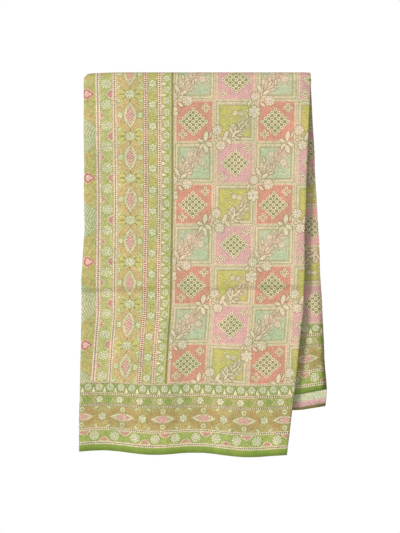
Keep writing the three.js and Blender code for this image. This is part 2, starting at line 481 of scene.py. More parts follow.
    def place(self, station, sign, raised, row, loft):
        """The point of a ply, how far below the rail's axis it hangs, and its own lengths."""
        x = station.x + sign * station.normal[0] * self.offset
        depth = self.s.section / 2 + station.layer * self.pitch_at(station.x, row)
        depth += station.lift + sign * station.normal[1] * self.offset
        front = self.front_length(station)
        back = self.back_length(station, raised, row)
        usual, own = (self.s.front_drop, front) if row.fall == "front" else (self.usual_back, back)
        below = row.share * usual + (own - usual) * row.share ** 6
        radius = self.s.rail_radius + depth + self.relief_at(x, below, row) + loft(x, below, row)
        overhang = clamp01(1 - (x - row.left) / (row.right - row.left) / DROOP_SHARE)
        droop = self.s.droop * smooth(overhang) * math.sin(row.turn)
        point = Vector((
            x,
            -radius * math.cos(row.turn),
            self.axis_z - below + radius * math.sin(row.turn) - droop,
        ))
        return point, below, front, back


def segment_distance(point, start, end):
    """Distance from a point to a line segment."""
    px, py = point[0] - start[0], point[1] - start[1]
    dx, dy = end[0] - start[0], end[1] - start[1]
    along = clamp01((px * dx + py * dy) / (dx * dx + dy * dy))
    return math.hypot(px - along * dx, py - along * dy)


class Column:
    """One column of the sheet, and how it finds its station at a row."""

    def __init__(self, section, sign, share=None, fold=None, angle=None, panel=None):
        self.section = section
        self.sign = sign
        self.share = share
        self.fold = fold
        self.angle = angle
        self.panel = panel


def finer(shares, parts):
    """The same columns with parts steps between each two."""
    full = [0.0] + shares + [1.0]
    out = []
    for a, b in zip(full, full[1:]):
        out += [mix(a, b, i / parts) for i in range(parts)]
    return out[1:]


def columns_of_cloth():
    """All columns in order along the cloth, from one free end to the other."""
    columns = []
    course = [(section, -1) for section in range(len(DEPTHS))]
    course += [(section, 1) for section in reversed(range(len(DEPTHS)))]
    for step, (section, sign) in enumerate(course):
        shares = list(COMMON_COLUMNS)
        if (section, sign) == (FACE, -1):
            shares = finer(COMMON_COLUMNS, 4)
        elif (section, sign) == (INNERMOST, 1):
            shares = finer(COMMON_COLUMNS, 2)
        shares = [0.0] + shares + [1.0]
        rightwards = (section % 2 == 1) == (sign < 0)
        if not rightwards:
            shares.reverse()
        columns += [Column(section, sign, share=share, panel=step) for share in shares]
        if step + 1 == len(course):
            break
        visible = section in (0, FACE) and course[step + 1][0] in (0, FACE, 2) and sign < 0
        parts = 4 if visible else 3
        if (section, sign) == (INNERMOST, -1):
            last = len(FOLDS) - 1
            columns += [Column(section, 0, fold=last, angle=a, panel=step) for a in (0.25, 0.5, 0.75)]
            continue
        fold = section + 1 if sign < 0 else section
        angles = [math.pi * i / parts for i in range(1, parts)]
        if sign > 0:
            angles.reverse()
        columns += [Column(section, sign, fold=fold, angle=a, panel=step) for a in angles]
    return columns


def no_loft(x, below, row):
    """A ply that lies on the stack."""
    return 0.0


class Sheet:
    """The grid of points of the folded cloth, with the place of each point on the flat cloth."""

    def __init__(self, sizes, draft):
        self.drape = Drape(sizes)
        self.sizes = sizes
        self.draft = draft
        self.rows = self.drape.rows()
        self.columns = columns_of_cloth()
        self.points = [[self.point(column, row) for column in self.columns] for row in self.rows]
        self.lay_flat()

    def face_loft(self, x, below, row):
        """How far the face stands off the ply under it, with its own small creases."""
        from_edge = clamp01(min(x - row.left, row.right - x) / LOFT_EDGE)
        out = self.sizes.loft
        if row.fall == "front" and row.share > 0:
            for ridge in FACE_RIDGES:
                away = segment_distance((x, below), ridge["start"], ridge["end"])
                out += ridge["height"] * (1 - smooth(clamp01(away / ridge["reach"])))
        return out * smooth(from_edge)

    def strip_loft(self, x, below, row):
        from_edge = clamp01(min(x - row.left, row.right - x) / LOFT_EDGE)
        return -self.sizes.loft * smooth(from_edge) * row.hanging

    def point(self, column, row):
        drape = self.drape
        raised = 0.0
        loft = no_loft
        if column.section == FACE and column.sign < 0 and column.fold is None:
            loft = self.face_loft
        if column.section == INNERMOST:
            raised = 1.0 if column.sign > 0 else 0.0
            if column.sign > 0 and column.fold is None:
                loft = self.strip_loft
        if column.sign == 0:
            return self.doubled_end(column.angle, row)
        if column.fold is None:
            station = drape.section_station(column.section, column.share, row)
        else:
            station = drape.turn_station(column.fold, column.angle, row)
        if column.section == INNERMOST and column.sign < 0 and column.share == 1.0 and row.fall == "back":
            station.x -= self.sizes.ply_edge * row.share ** 3
        return drape.place(station, column.sign, raised, row, loft)

    def doubled_end(self, part, row):
        """The fold where the cloth is doubled, from its outer ply round to the one that faces the rail."""
        drape = self.drape
        station = drape.section_station(INNERMOST, 1.0, row)
        inset = self.sizes.ply_edge * row.share ** 3 if row.fall == "back" else 0.0
        angle = math.pi * part
        out = drape.offset * math.cos(angle)
        station.x += drape.offset * math.sin(angle) - inset * (1 - part)
        station.lift = out
        station.normal = (0.0, 0.0)
        return drape.place(station, 0, smooth(part), row, no_loft)

    def weft_height(self, row, below, front, back, arc, u):
        """Height of a point on the flat cloth, from the front selvedge. arc is the length over the rail."""
        sizes = self.sizes
        top = sizes.front_drop * FRONT_TAKE_UP
        if row.share > 0 and row.fall == "front":
            done = below / sizes.front_drop
            done -= (front / sizes.front_drop - 1) * done ** 3
            height = top * (1 - done)
            checked = clamp01((height - self.draft.border) / (sizes.cloth_width / 2 - self.draft.border))
            return height + SAG * math.sin(math.pi * checked) * clamp01(1 + u / SAG_REACH)
        if row.share > 0:
            usual = sizes.cloth_width - sizes.front_drop - arc
            done = below / usual
            done -= (back / usual - 1) * done ** 3
            return sizes.cloth_width - (sizes.cloth_width - top - arc) * (1 - done)
        return top + arc * row.turn / math.pi

    def lay_flat(self):
        """Finds u, the length along the cloth from the line between pallu and body, and v, its height."""
        sizes = self.sizes
        drape = self.drape
        rail_row = next(row for row in self.rows if row.share == 0)
        # Widths of the plies over the rail give the length of cloth between two folds
        widths = []
        for section in range(len(DEPTHS)):
            start = drape.turn_at(section, rail_row)[1]
            end = drape.turn_at(section + 1, rail_row)[1]
            turn = math.pi * drape.turn_at(section + 1, rail_row)[2] if section < INNERMOST else 0.0
            widths.append((abs(end - start), turn))
        self.flat = []
        check = self.draft.check_length
        body_at_rail, scale_at_rail = self.lines(rail_row)
        # The cloth's course in lengths at each fold, counted from the line between pallu and body
        right_of_face = (widths[FACE][0] + drape.turn_at(1, rail_row)[1] - body_at_rail) * scale_at_rail
        marks = [right_of_face]
        for section in range(2, len(DEPTHS)):
            marks.append(marks[-1] + widths[section][0] + widths[section - 1][1])
        free = marks[-1]
        # The doubled end falls just past the middle of a ringed check
        columns = round((free + STRIP_CENTRE) / check / 2 - 0.75)
        target = (2 * columns + 1.5) * check - STRIP_CENTRE
        stretch = (target - right_of_face) / (free - right_of_face)
        marks = [right_of_face + (mark - right_of_face) * stretch for mark in marks]
        doubled = marks[-1]
        for r, row in enumerate(self.rows):
            flat_row = []
            for c, column in enumerate(self.columns):
                point, below, front, back = self.points[r][c]
                u = self.course(column, point.x, row, marks, widths, doubled)
                middle = sizes.rail_radius + sizes.section / 2
                arc = math.pi * (middle + self.layer_of(column) * sizes.pitch)
                v = self.weft_height(row, below, front, back, arc, u)
                if (column.section, column.sign) == (INNERMOST, 1) and row.fall == "back":
                    from_hem = sizes.cloth_width - v
                    v += STRIP_SHIFT * smooth(clamp01(from_hem / STRIP_SHIFT_REACH)) * row.hanging
                flat_row.append((u, v))
            self.flat.append(flat_row)
        middle_row = self.flat[len(self.flat) // 2]
        self.length = middle_row[-1][0] - middle_row[0][0]

    def layer_of(self, column):
        if column.fold is None or column.sign == 0:
            return INNERMOST - DEPTHS[column.section]
        return (2 * INNERMOST - DEPTHS[column.fold] - DEPTHS[column.fold - 1]) / 2

    def lines(self, row):
        """Where the line between pallu and body crosses a row of the face, and the weave's scale there."""
        body, third = along_marks(LINES_ON_FACE[row.fall], row.share)
        return body, CHECKS_BETWEEN_LINES * self.draft.check_length / (third - body)

    def course(self, column, x, row, marks, widths, doubled):
        """Length along the cloth at a column."""
        drape = self.drape
        left_of_face = drape.turn_at(1, row)[1]
        right_of_face = drape.turn_at(2, row)[1]
        body, scale = self.lines(row)
        start_face = (left_of_face - body) * scale
        end_face = (right_of_face - body) * scale

        def across(section):
            low = drape.turn_at(section, row)[1]
            high = drape.turn_at(section + 1, row)[1]
            return clamp01((x - low) / (high - low))

        def bend(section):
            return widths[section][1]

        if column.sign < 0:
            if column.section == 0 and column.fold is None:
                return start_face - bend(0) - (x - left_of_face)
            if column.section == 0:
                return start_face - bend(0) * (1 - column.angle / math.pi)
            if column.section == FACE and column.fold is None:
                return (x - body) * scale
            if column.section == FACE:
                return end_face + bend(FACE) * column.angle / math.pi
            first = end_face if column.section == 2 else marks[column.section - 2]
            begin = first + bend(column.section - 1)
            finish = marks[column.section - 1]
            if column.fold is None:
                return mix(begin, finish, across(column.section))
            return finish + bend(column.section) * column.angle / math.pi
        if column.sign == 0:
            return doubled + column.angle * DOUBLED_TURN
        # On the way back, the cloth of the second half counts on from the doubled end
        strip_right = drape.turn_at(8, row)[1]
        if column.section == INNERMOST and column.fold is None:
            return doubled + DOUBLED_TURN + strip_right - x
        passed = INNERMOST - column.section
        strip_width = strip_right - drape.turn_at(7, row)[1]
        usual = doubled + DOUBLED_TURN + sum(widths[7 - k][0] + widths[6 - k][1] for k in range(passed))
        own = usual
        if passed == 1:
            own = doubled + DOUBLED_TURN + strip_width + widths[6][1]
        if column.fold is None:
            done = usual + widths[column.section][0]
            return mix(done, own, across(column.section))
        if column.section == INNERMOST:
            return doubled + DOUBLED_TURN + strip_width + widths[6][1] * (1 - column.angle / math.pi)
        start = usual + widths[column.section][0]
        return start + widths[column.section - 1][1] * (1 - column.angle / math.pi)


class BakeLayout:
    """Where each panel of the sheet lies on the OFBake map, with most room for the ones that show large."""

    FRONT = (0.002, 0.002, 0.596, 0.996)
    BACK = (0.612, 0.422, 0.386, 0.576)
    STRIP = (0.612, 0.002, 0.136, 0.410)
    HIDDEN = (0.760, 0.002, 0.0065, 0.410)
    HIDDEN_STEP = 0.0075

    def __init__(self, sheet):
        self.flat = sheet.flat
        self.panels = [column.panel for column in sheet.columns]
        self.starts = [self.panels.index(panel) for panel in range(self.panels[-1] + 1)]
        self.ends = self.starts[1:] + [len(self.panels) - 1]
        self.top = next(r for r, row in enumerate(sheet.rows) if row.turn >= math.pi / 2)
        self.last = len(sheet.rows) - 1

    def place(self, r, c, first_row, panel, wrong):
        """Place on the map of the point at row r and column c, for a face that starts at first_row."""
        back = first_row >= self.top
        rows = (0, self.last)
        left, bottom, width, height = self.HIDDEN
        left += self.HIDDEN_STEP * (panel + (len(self.starts) if wrong else 0))
        if not wrong and panel == FACE:
            left, bottom, width, height = self.BACK if back else self.FRONT
            rows = (self.top, self.last) if back else (0, self.top)
        elif not wrong and panel == INNERMOST + 1 and back:
            left, bottom, width, height = self.STRIP
            rows = (self.top, self.last)
        start, end = self.flat[r][self.starts[panel]][0], self.flat[r][self.ends[panel]][0]
        low, high = self.flat[rows[0]][c][1], self.flat[rows[1]][c][1]
        across = (self.flat[r][c][0] - start) / (end - start)
        up = (self.flat[r][c][1] - low) / (high - low)
        return left + width * across, bottom + height * up


def build_cloth(sizes, draft):
    """The sheet as a closed mesh: the right side, the wrong side and the thin edges."""
    sheet = Sheet(sizes, draft)
    rows, columns = len(sheet.rows), len(sheet.columns)
    grid = [[entry[0] for entry in row] for row in sheet.points]
    half = sizes.ply / 2
    right, wrong = [], []
    for r in range(rows):
        for c in range(columns):
            along = grid[r][min(c + 1, columns - 1)] - grid[r][max(c - 1, 0)]
            up = grid[min(r + 1, rows - 1)][c] - grid[max(r - 1, 0)][c]
            normal = along.cross(up).normalized()
            right.append(grid[r][c] + normal * half)
            wrong.append(grid[r][c] - normal * half)
    count = rows * columns
    faces, flats, baked = [], [], []
    layout = BakeLayout(sheet)

    def quad(points, sides, wrong=False):
        """A face through points, each a row and a column, on the right side (0) or the wrong side (1)."""
        faces.append([r * columns + c + side * count for (r, c), side in zip(points, sides)])
        flats.append([sheet.flat[r][c] for r, c in points])
        first_row = min(r for r, _ in points)
        panel = layout.panels[min(c for _, c in points)]
        baked.append([layout.place(r, c, first_row, panel, wrong) for r, c in points])

    for r in range(rows - 1):
        for c in range(columns - 1):
            quad([(r, c), (r, c + 1), (r + 1, c + 1), (r + 1, c)], (0, 0, 0, 0))
    right_faces = len(faces)
    for r in range(rows - 1):
        for c in range(columns - 1):
            quad([(r, c), (r + 1, c), (r + 1, c + 1), (r, c + 1)], (1, 1, 1, 1), wrong=True)
    wrong_faces = len(faces)
    for c in range(columns - 1):
        quad([(0, c + 1), (0, c), (0, c), (0, c + 1)], (0, 0, 1, 1))
        quad([(rows - 1, c), (rows - 1, c + 1), (rows - 1, c + 1), (rows - 1, c)], (0, 0, 1, 1))
    for r in range(rows - 1):
        quad([(r, 0), (r + 1, 0), (r + 1, 0), (r, 0)], (0, 0, 1, 1))
        quad([(r + 1, columns - 1), (r, columns - 1), (r, columns - 1), (r + 1, columns - 1)], (0, 0, 1, 1))
    mesh = bpy.data.meshes.new("sari_silk")
    mesh.from_pydata([tuple(p) for p in right + wrong], [], faces)
    weave = mesh.uv_layers.new(name="weave")
    weave.data.foreach_set("uv", [value for flat in flats for uv in flat for value in uv])
    bake = mesh.uv_layers.new(name="OFBake")
    bake.data.foreach_set("uv", [value for places in baked for uv in places for value in uv])
    for index, polygon in enumerate(mesh.polygons):
        polygon.use_smooth = True
        polygon.material_index = 1 if right_faces <= index < wrong_faces else 0
    mesh.update()
    return mesh, sheet


def millimetres(value):
    return value / MM


# Form of a woven flower: how deep its edge dips between petals, the half-width of the cuts between them,
# where the cuts start, and the heart's share of the radius
PETAL_DEPTH = 0.26
PETAL_CUT = 0.34
CUT_START = 0.50
HEART_SHARE = 0.25
PATTERN_SOCKETS = [("Dye", "NodeSocketColor"), ("Zari", "NodeSocketFloat")]


class Draft:
    """Draws the woven pattern with shader nodes. Places and distances are in millimetres on the cloth.

    Places are split and turned by dot products: with separating and mapping nodes the pattern went over
    Cycles' limit for one material, and the cloth rendered black.
    """

    def __init__(self, tree):
        self.tree = tree

    def node(self, kind, values, output=0, **settings):
        made = self.tree.nodes.new(kind)
        for name, value in settings.items():
            setattr(made, name, value)
        for index, value in values.items():
            socket = made.inputs[index]
            if isinstance(value, bpy.types.NodeSocket):
                self.tree.links.new(value, socket)
            elif socket.type == "RGBA" and len(value) == 3:
                socket.default_value = (*value, 1)
            else:
                socket.default_value = value
        return made.outputs[output]

    def math(self, operation, *values):
        return self.node("ShaderNodeMath", dict(enumerate(values)), operation=operation)

    def minus(self, value, less):
        return self.math("SUBTRACT", value, less)

    def plus(self, value, more):
        return self.math("ADD", value, more)

    def times(self, value, factor):
        return self.math("MULTIPLY", value, factor)

    def over(self, value, divisor):
        return self.math("DIVIDE", value, divisor)

    def scaled(self, value, factor, more):
        return self.math("MULTIPLY_ADD", value, factor, more)

    def smaller(self, one, other):
        return self.math("MINIMUM", one, other)

    def larger(self, one, other):
        return self.math("MAXIMUM", one, other)

    def absolute(self, value):
        return self.math("ABSOLUTE", value)

    def wrapped(self, value, high, low):
        return self.math("WRAP", value, high, low)

    def vector(self, operation, *values):
        output = 1 if operation in ("LENGTH", "DISTANCE", "DOT_PRODUCT") else 0
        return self.node("ShaderNodeVectorMath", dict(enumerate(values)), output, operation=operation)

    def parts(self, vector):
        """The x and the y of a place."""
        x = self.vector("DOT_PRODUCT", vector, (1.0, 0.0, 0.0))
        return x, self.vector("DOT_PRODUCT", vector, (0.0, 1.0, 0.0))

    def turned(self, place, centre, radii, turn):
        """Place from a centre along two turned axes, as shares of two radii. turn is in degrees."""
        moved = self.vector("SUBTRACT", place, (*centre, 0.0))
        cosine, sine = math.cos(math.radians(turn)), math.sin(math.radians(turn))
        along = self.vector("DOT_PRODUCT", moved, (cosine / radii[0], sine / radii[0], 0.0))
        across = self.vector("DOT_PRODUCT", moved, (-sine / radii[1], cosine / radii[1], 0.0))
        return along, across

    def join(self, x, y):
        return self.node("ShaderNodeCombineXYZ", {0: x, 1: y})

    def between(self, value, low, high):
        """0 at low, 1 at high, and clamped outside them by a node of its own."""
        ranged = self.node("ShaderNodeMapRange", {0: value, 1: low, 2: high, 3: 0.0, 4: 1.0}, clamp=False)
        return self.node("ShaderNodeClamp", {0: ranged, 1: 0.0, 2: 1.0})

    def inside(self, distance, blur=0.35):
        """1 where a distance is below 0, and 0 above it."""
        return self.between(distance, blur, -blur)

    def noise(self, place, size, detail):
        """Soft noise around 0, in lumps of about size millimetres."""
        values = {"Vector": place, "Scale": 1 / size, "Detail": detail}
        return self.minus(self.node("ShaderNodeTexNoise", values, noise_dimensions="2D"), 0.5)

    def paint(self, ground, distance, colour, share=1.0, blur=0.3):
        """Lay a colour over the ground where a distance is below 0."""
        factor = self.inside(distance, blur)
        if share != 1.0:  # a number or a socket
            factor = self.times(factor, share)
        return self.dye(factor, ground, colour)

    def edged(self, ground, shape, line, colour, share=1.0, blur=0.3):
        """Lay a shape over its outline. line is the outline's width, colour, share and blur."""
        wide, line_colour, line_share, line_blur = line
        ground = self.paint(ground, self.minus(shape, wide), line_colour, line_share, line_blur)
        return self.paint(ground, shape, colour, share, blur)

    def pick(self, factor, under, over):
        """One of two numbers, by a factor of 0 or 1."""
        return self.node("ShaderNodeMix", {0: factor, 2: under, 3: over}, 0, data_type="FLOAT")

    def dye(self, factor, under, over):
        """A colour between two colours."""
        return self.node("ShaderNodeMix", {0: factor, 6: under, 7: over}, 2, data_type="RGBA")

    def stripes(self, value, low, high, stops):
        """Bands of plain colour along a value: each stop is where a colour begins."""
        scaled = self.between(value, low, high)
        made = self.node("ShaderNodeValToRGB", {0: scaled}).node
        ramp = made.color_ramp
        ramp.interpolation = "CONSTANT"
        while len(ramp.elements) < len(stops):
            ramp.elements.new(1.0)
        for element, (start, colour) in zip(ramp.elements, stops):
            element.position = (start - low) / (high - low)
            element.color = (*colour[:3], 1)
        return made.outputs[0]

    def repeat(self, place, pitch_x, pitch_y, centre=(0.0, 0.0)):
        """Place within the nearest of a grid of repeats."""
        moved = self.vector("SUBTRACT", place, (*centre, 0.0))
        half = (pitch_x / 2, pitch_y / 2, 1.0)
        return self.vector("WRAP", moved, half, tuple(-h for h in half))

    def disc(self, place, centre, radii, turn=0.0):
        """Distance outside an ellipse."""
        reach = self.vector("LENGTH", self.join(*self.turned(place, centre, radii, turn)))
        return self.scaled(reach, min(radii), -min(radii))

    def leaf(self, place, centre, half_length, half_width, turn=0.0):
        """Distance outside a leaf or almond with two points."""
        along, across = self.turned(place, centre, (half_length, half_width), turn)
        bulge = self.scaled(along, along, -1.0)
        shape = self.plus(self.absolute(across), bulge)
        return self.times(shape, half_width)

    def rosette(self, place, centre, radius, petals, turn):
        """Distance outside a flower whose round petals are parted by cuts, and outside its heart."""
        moved = self.vector("SUBTRACT", place, (*centre, 0.0))
        x, y = self.parts(moved)
        angle = self.math("ARCTAN2", y, x)
        wave = self.math("COSINE", self.scaled(angle, petals / 2, math.radians(turn)))
        wave = self.absolute(wave)
        reach = self.vector("LENGTH", moved)
        edge = self.scaled(wave, radius * PETAL_DEPTH, radius * (1 - PETAL_DEPTH))
        outside = self.minus(reach, edge)
        cut = self.scaled(self.times(reach, wave), -2 / petals, PETAL_CUT)
        cut = self.smaller(cut, self.minus(reach, CUT_START * radius))
        return self.larger(outside, cut), self.minus(reach, HEART_SHARE * radius)

    def wave(self, value, pitch, kind="COSINE"):
        return self.math(kind, self.times(value, 2 * math.pi / pitch))

    def dots(self, x, y, pitch):
        """Dots set on the corners of two crossed grids: 1 in the middle of each, and -1 between them."""
        return self.times(self.wave(x, pitch), self.wave(y, pitch))

    def nearest(self, distances):
        """Distance outside the nearest of several shapes."""
        out = distances[0]
        for distance in distances[1:]:
            out = self.smaller(out, distance)
        return out


def new_group(name, inputs, outputs):
    """A node group with named sockets, and its input and output nodes."""
    tree = bpy.data.node_groups.new(name, "ShaderNodeTree")
    for label, kind in inputs:
        tree.interface.new_socket(label, in_out="INPUT", socket_type=kind)
    for label, kind in outputs:
        tree.interface.new_socket(label, in_out="OUTPUT", socket_type=kind)
    return tree, tree.nodes.new("NodeGroupInput")


def close_group(tree, results):
    end = tree.nodes.new("NodeGroupOutput")
    for socket, result in zip(end.inputs, results):
        tree.links.new(result, socket)
    return tree


# One ringed diamond: a lattice of rings set on its point
RING_STEP = (7.4, 6.7)
RINGS_PER_SIDE = 5
RING_OUTER = 0.42
RING_INNER = 0.16
RING_BLUR = 0.05
CLUSTER_OFFSET = 4.7
# Curls of the framed checks, and how far their twigs lie off the diagonal in a mint and an olive check
CURL_PITCH = 5.6
CURL_RADIUS = 1.7
TWIG_SHIFT = (-3.5, 13.8)
# Lines of the frame of a mint or olive check, from its edge inwards
FRAME_LINES = [
    (0.0, "frame_light"), (0.9, "khaki"), (2.6, "frame_dark"), (3.3, "frame_light"), (5.6, "khaki"),
    (7.6, "frame_dark"),
]
FRAME_WIDTH = 8.7
# Margin of a coral or pink check beside its neighbours, at its sides and at its top and foot
SIDE_MARGIN = 4.4
FOOT_MARGIN = 2.2

# Flowers and leaves of the vine. A flower has a centre, radius, petals and turn, and a leaf has a centre,
# half its length, half its width and a turn. Places are from the middle of a check, or from the corner
# that the cluster lies over.
MINT_FLOWERS = [((-7.1, 13.8), 4.9, 6, 0.0), ((12.9, 1.3), 5.8, 8, 0.0), ((-23.5, -3.9), 4.0, 6, 0.0)]
MINT_LEAVES = [
    ((-18.7, 7.5), 3.4, 1.3, 115.0),
    ((-3.1, -3.5), 3.0, 1.2, 80.0),
    ((0.4, 22.8), 2.8, 1.2, 85.0),
    ((7.1, 8.3), 2.5, 1.2, -60.0),
    ((-8.9, -11.0), 2.6, 2.0, 30.0),
    ((18.5, -6.0), 2.8, 1.1, -35.0),
]
OLIVE_FLOWERS = [((-0.4, 12.3), 4.5, 6, 0.0), ((8.9, 11.4), 4.4, 6, 20.0), ((-2.2, -9.0), 5.6, 7, 0.0)]
OLIVE_LEAVES = [
    ((-5.8, 19.3), 1.9, 1.6, 0.0),
    ((-7.5, 3.9), 2.0, 1.7, 0.0),
    ((-14.2, 7.5), 1.5, 1.2, 0.0),
    ((4.9, -13.6), 1.8, 1.5, 0.0),
    ((15.5, -14.5), 2.0, 1.7, 0.0),
    ((20.4, 17.1), 3.6, 2.0, 20.0),
    ((11.0, -2.5), 4.2, 1.6, 25.0),
    ((-11.0, -16.0), 4.2, 1.6, 40.0),
]
LILY_FLOWERS = [((4.0, 18.4), 8.4, 9, 0.0), ((10.2, -5.3), 8.0, 8, 10.0), ((15.5, 5.3), 3.6, 6, 0.0)]
LILY_LEAVES = [
    ((-14.2, 9.4), 8.4, 3.8, 82.0),
    ((-23.1, 2.2), 5.6, 2.8, -20.0),
    ((-8.9, -3.5), 6.8, 3.4, -32.0),
    ((-14.2, -10.6), 7.8, 3.6, -68.0),
    ((-21.4, -6.0), 6.2, 2.3, 48.0),
    ((2.2, 3.1), 3.8, 1.8, -35.0),
    ((-6.8, 11.4), 6.4, 1.3, 70.0),
    ((18.2, 11.0), 7.4, 3.1, 68.0),
    ((22.8, 1.6), 6.6, 3.0, -48.0),
    ((-24.0, -12.0), 7.0, 0.8, 55.0),
    ((26.6, 18.4), 7.0, 1.8, 118.0),
    ((31.5, 12.6), 7.4, 2.0, 62.0),
    ((33.4, 20.6), 6.0, 1.5, 84.0),
    ((38.2, 16.7), 6.6, 1.8, 18.0),
    ((41.0, 10.6), 5.4, 1.5, -6.0),
    ((36.4, 6.6), 6.0, 1.7, -24.0),
    ((44.4, 23.7), 6.4, 1.7, 44.0),
    ((51.0, 30.6), 5.0, 1.5, 62.0),
]
STAR_FLOWERS = [((-1.3, 6.1), 7.5, 10, 0.0), ((22.2, -0.9), 8.6, 9, 0.0), ((-2.7, -18.4), 10.0, 6, -105.0)]
STAR_LEAVES = [
    ((4.9, 19.3), 7.2, 2.8, 118.0),
    ((16.4, 12.7), 7.2, 2.8, 36.0),
    ((8.9, 11.4), 7.0, 1.0, 75.0),
    ((10.5, -7.0), 5.6, 2.2, -40.0),
    ((-10.5, -4.5), 5.2, 2.1, 60.0),
    ((14.5, 38.6), 5.0, 1.6, 108.0),
    ((22.0, 26.3), 6.0, 1.7, 58.0),
    ((31.0, 29.0), 5.0, 1.6, 84.0),
    ((27.0, 17.2), 5.0, 1.6, 14.0),
]

# Edges of the border's bands in millimetres from the body, and where the pallu has the same edges
BAND_EDGES = [0.0, 17.8, 21.9, 36.5, 39.8, 75.7, 80.6, 98.5, 104.2]
PALLU_EDGES = [3.9, 19.7, 26.2, 42.5, 49.1, 92.7, 99.2, 119.2, 127.3]
GUARDS = list(zip(BAND_EDGES[1::2], BAND_EDGES[2::2]))
NARROW, MAIN, ROSETTES = 29.4, 57.75, 89.6  # middles of three bands
DAISIES = 8.8
# Half the length of an almond, and the pitches of the beads and of the dots in it
ALMOND_REACH = 20.3
BEAD_PITCH = 3.6
JEWEL_PITCH = 4.2
ARC_PITCH = 4.6
DOT_PITCH = 3.4
BORDER_PHASE = -5.4
PALLU_PHASE = 550.5
DAISY_PITCH = 18.1
DAISY_PHASE = {"border": -4.0, "pallu": 13.0}


def ringed_check(d, dyes, local, odd, to_edge):
    """A coral or pink check, with its diamond of rings and two small clusters."""
    ground = d.dye(odd, dyes.coral, dyes.pink)
    edge_x, edge_y = to_edge
    margin = d.smaller(d.over(edge_x, SIDE_MARGIN), d.over(edge_y, FOOT_MARGIN))
    ground = d.dye(d.between(margin, 1.05, 0.95), ground, dyes.blush)
    ground = d.dye(d.between(margin, 0.45, 0.35), ground, dyes.khaki)

    # Small clusters of four rings in two corners
    local_x, _ = d.parts(local)
    side = d.math("SIGN", local_x)
    turned = d.vector("MULTIPLY", local, d.join(side, side))
    place = d.join(d.pick(odd, 18.7, 20.9), d.pick(odd, 20.8, 22.6))
    x, y = d.parts(d.vector("ABSOLUTE", d.vector("SUBTRACT", turned, place)))
    folded = d.join(d.larger(x, y), d.smaller(x, y))
    ring = d.vector("DISTANCE", folded, (CLUSTER_OFFSET, 0.0, 0.0))
    ground = d.paint(ground, d.minus(ring, 3.6), dyes.rim, 0.65, 0.5)
    ground = d.paint(ground, d.minus(ring, 2.8), dyes.ring)
    ground = d.paint(ground, d.minus(ring, 1.2), dyes.hole, 0.85)

    # The diamond, set a little aside from the middle of its check
    moved = d.vector("SUBTRACT", local, d.join(d.pick(odd, -1.8, 0.9), d.pick(odd, -0.9, 0.0)))
    across, up = (math.sqrt(0.5) / step for step in RING_STEP)
    lattice = d.join(
        d.vector("DOT_PRODUCT", moved, (across, -up, 0.0)),
        d.vector("DOT_PRODUCT", moved, (across, up, 0.0)),
    )
    ring = d.vector("LENGTH", d.vector("WRAP", lattice, (0.5, 0.5, 1.0), (-0.5, -0.5, -1.0)))
    lattice_x, lattice_y = d.parts(d.vector("ABSOLUTE", lattice))
    reach = d.larger(lattice_x, lattice_y)
    in_rings = d.math("LESS_THAN", reach, RINGS_PER_SIDE / 2)
    diamond = d.between(reach, RINGS_PER_SIDE / 2 - 0.40, RINGS_PER_SIDE / 2 - 0.50)
    rim = d.times(d.between(ring, RING_OUTER + 0.13, RING_OUTER + 0.03), in_rings)
    ground = d.dye(d.times(rim, 0.75), ground, dyes.rim)
    ground = d.dye(diamond, ground, dyes.moss)
    outer = d.between(ring, RING_OUTER + RING_BLUR, RING_OUTER - RING_BLUR)
    ground = d.dye(d.times(outer, in_rings), ground, dyes.ring)
    hole = d.between(ring, RING_INNER + RING_BLUR, RING_INNER - RING_BLUR)
    return d.dye(d.times(hole, in_rings), ground, dyes.hole)


def spray(d, dyes, ground, local, flowers, leaves, outline):
    """The small flowers woven inside one framed check."""
    hearts = []
    shapes = []
    for flower in flowers:
        petals, heart = d.rosette(local, *flower)
        shapes.append(petals)
        hearts.append(heart)
    for leaf in leaves:
        shapes.append(d.leaf(local, *leaf))
    shape = d.nearest(shapes)
    ground = d.edged(ground, shape, (1.1, outline, 0.8, 0.5), dyes.cream, 0.9)
    return d.paint(ground, d.nearest(hearts), dyes.heart)


def thicket(d, dyes, ground, local, along, across, outline):
    """Curls and paired leaves that run across a framed check on the vine's way."""
    stray_x = d.noise(local, 6.0, 0.0)
    stray_y = d.noise(d.vector("ADD", local, (50.0, 20.0, 0.0)), 6.0, 0.0)
    reach = d.scaled(stray_x, 16.0, d.absolute(across))
    ground = d.paint(ground, d.minus(reach, 10.5), dyes.khaki, 0.55, 2.0)
    strayed = d.vector("ADD", local, d.join(d.times(stray_x, 9.0), d.times(stray_y, 9.0)))
    curl = d.vector("LENGTH", d.repeat(strayed, CURL_PITCH, CURL_PITCH))
    curl = d.absolute(d.minus(curl, CURL_RADIUS))
    near = d.minus(reach, 9.5)
    ground = d.paint(ground, d.larger(d.minus(curl, 1.3), near), outline, 0.55, 0.5)
    ground = d.paint(ground, d.larger(d.minus(curl, 0.55), near), dyes.cream, 0.6, 0.4)
    twig = d.join(d.wrapped(along, 4.4, -4.4), d.absolute(across))
    leaves = d.leaf(twig, (0.4, 5.0), 4.6, 1.9, 55.0)
    leaves = d.smaller(leaves, d.minus(d.absolute(across), 0.5))
    leaves = d.larger(leaves, d.minus(d.absolute(along), 31.0))
    return d.edged(ground, leaves, (0.9, outline, 0.6, 0.5), dyes.cream, 0.7)


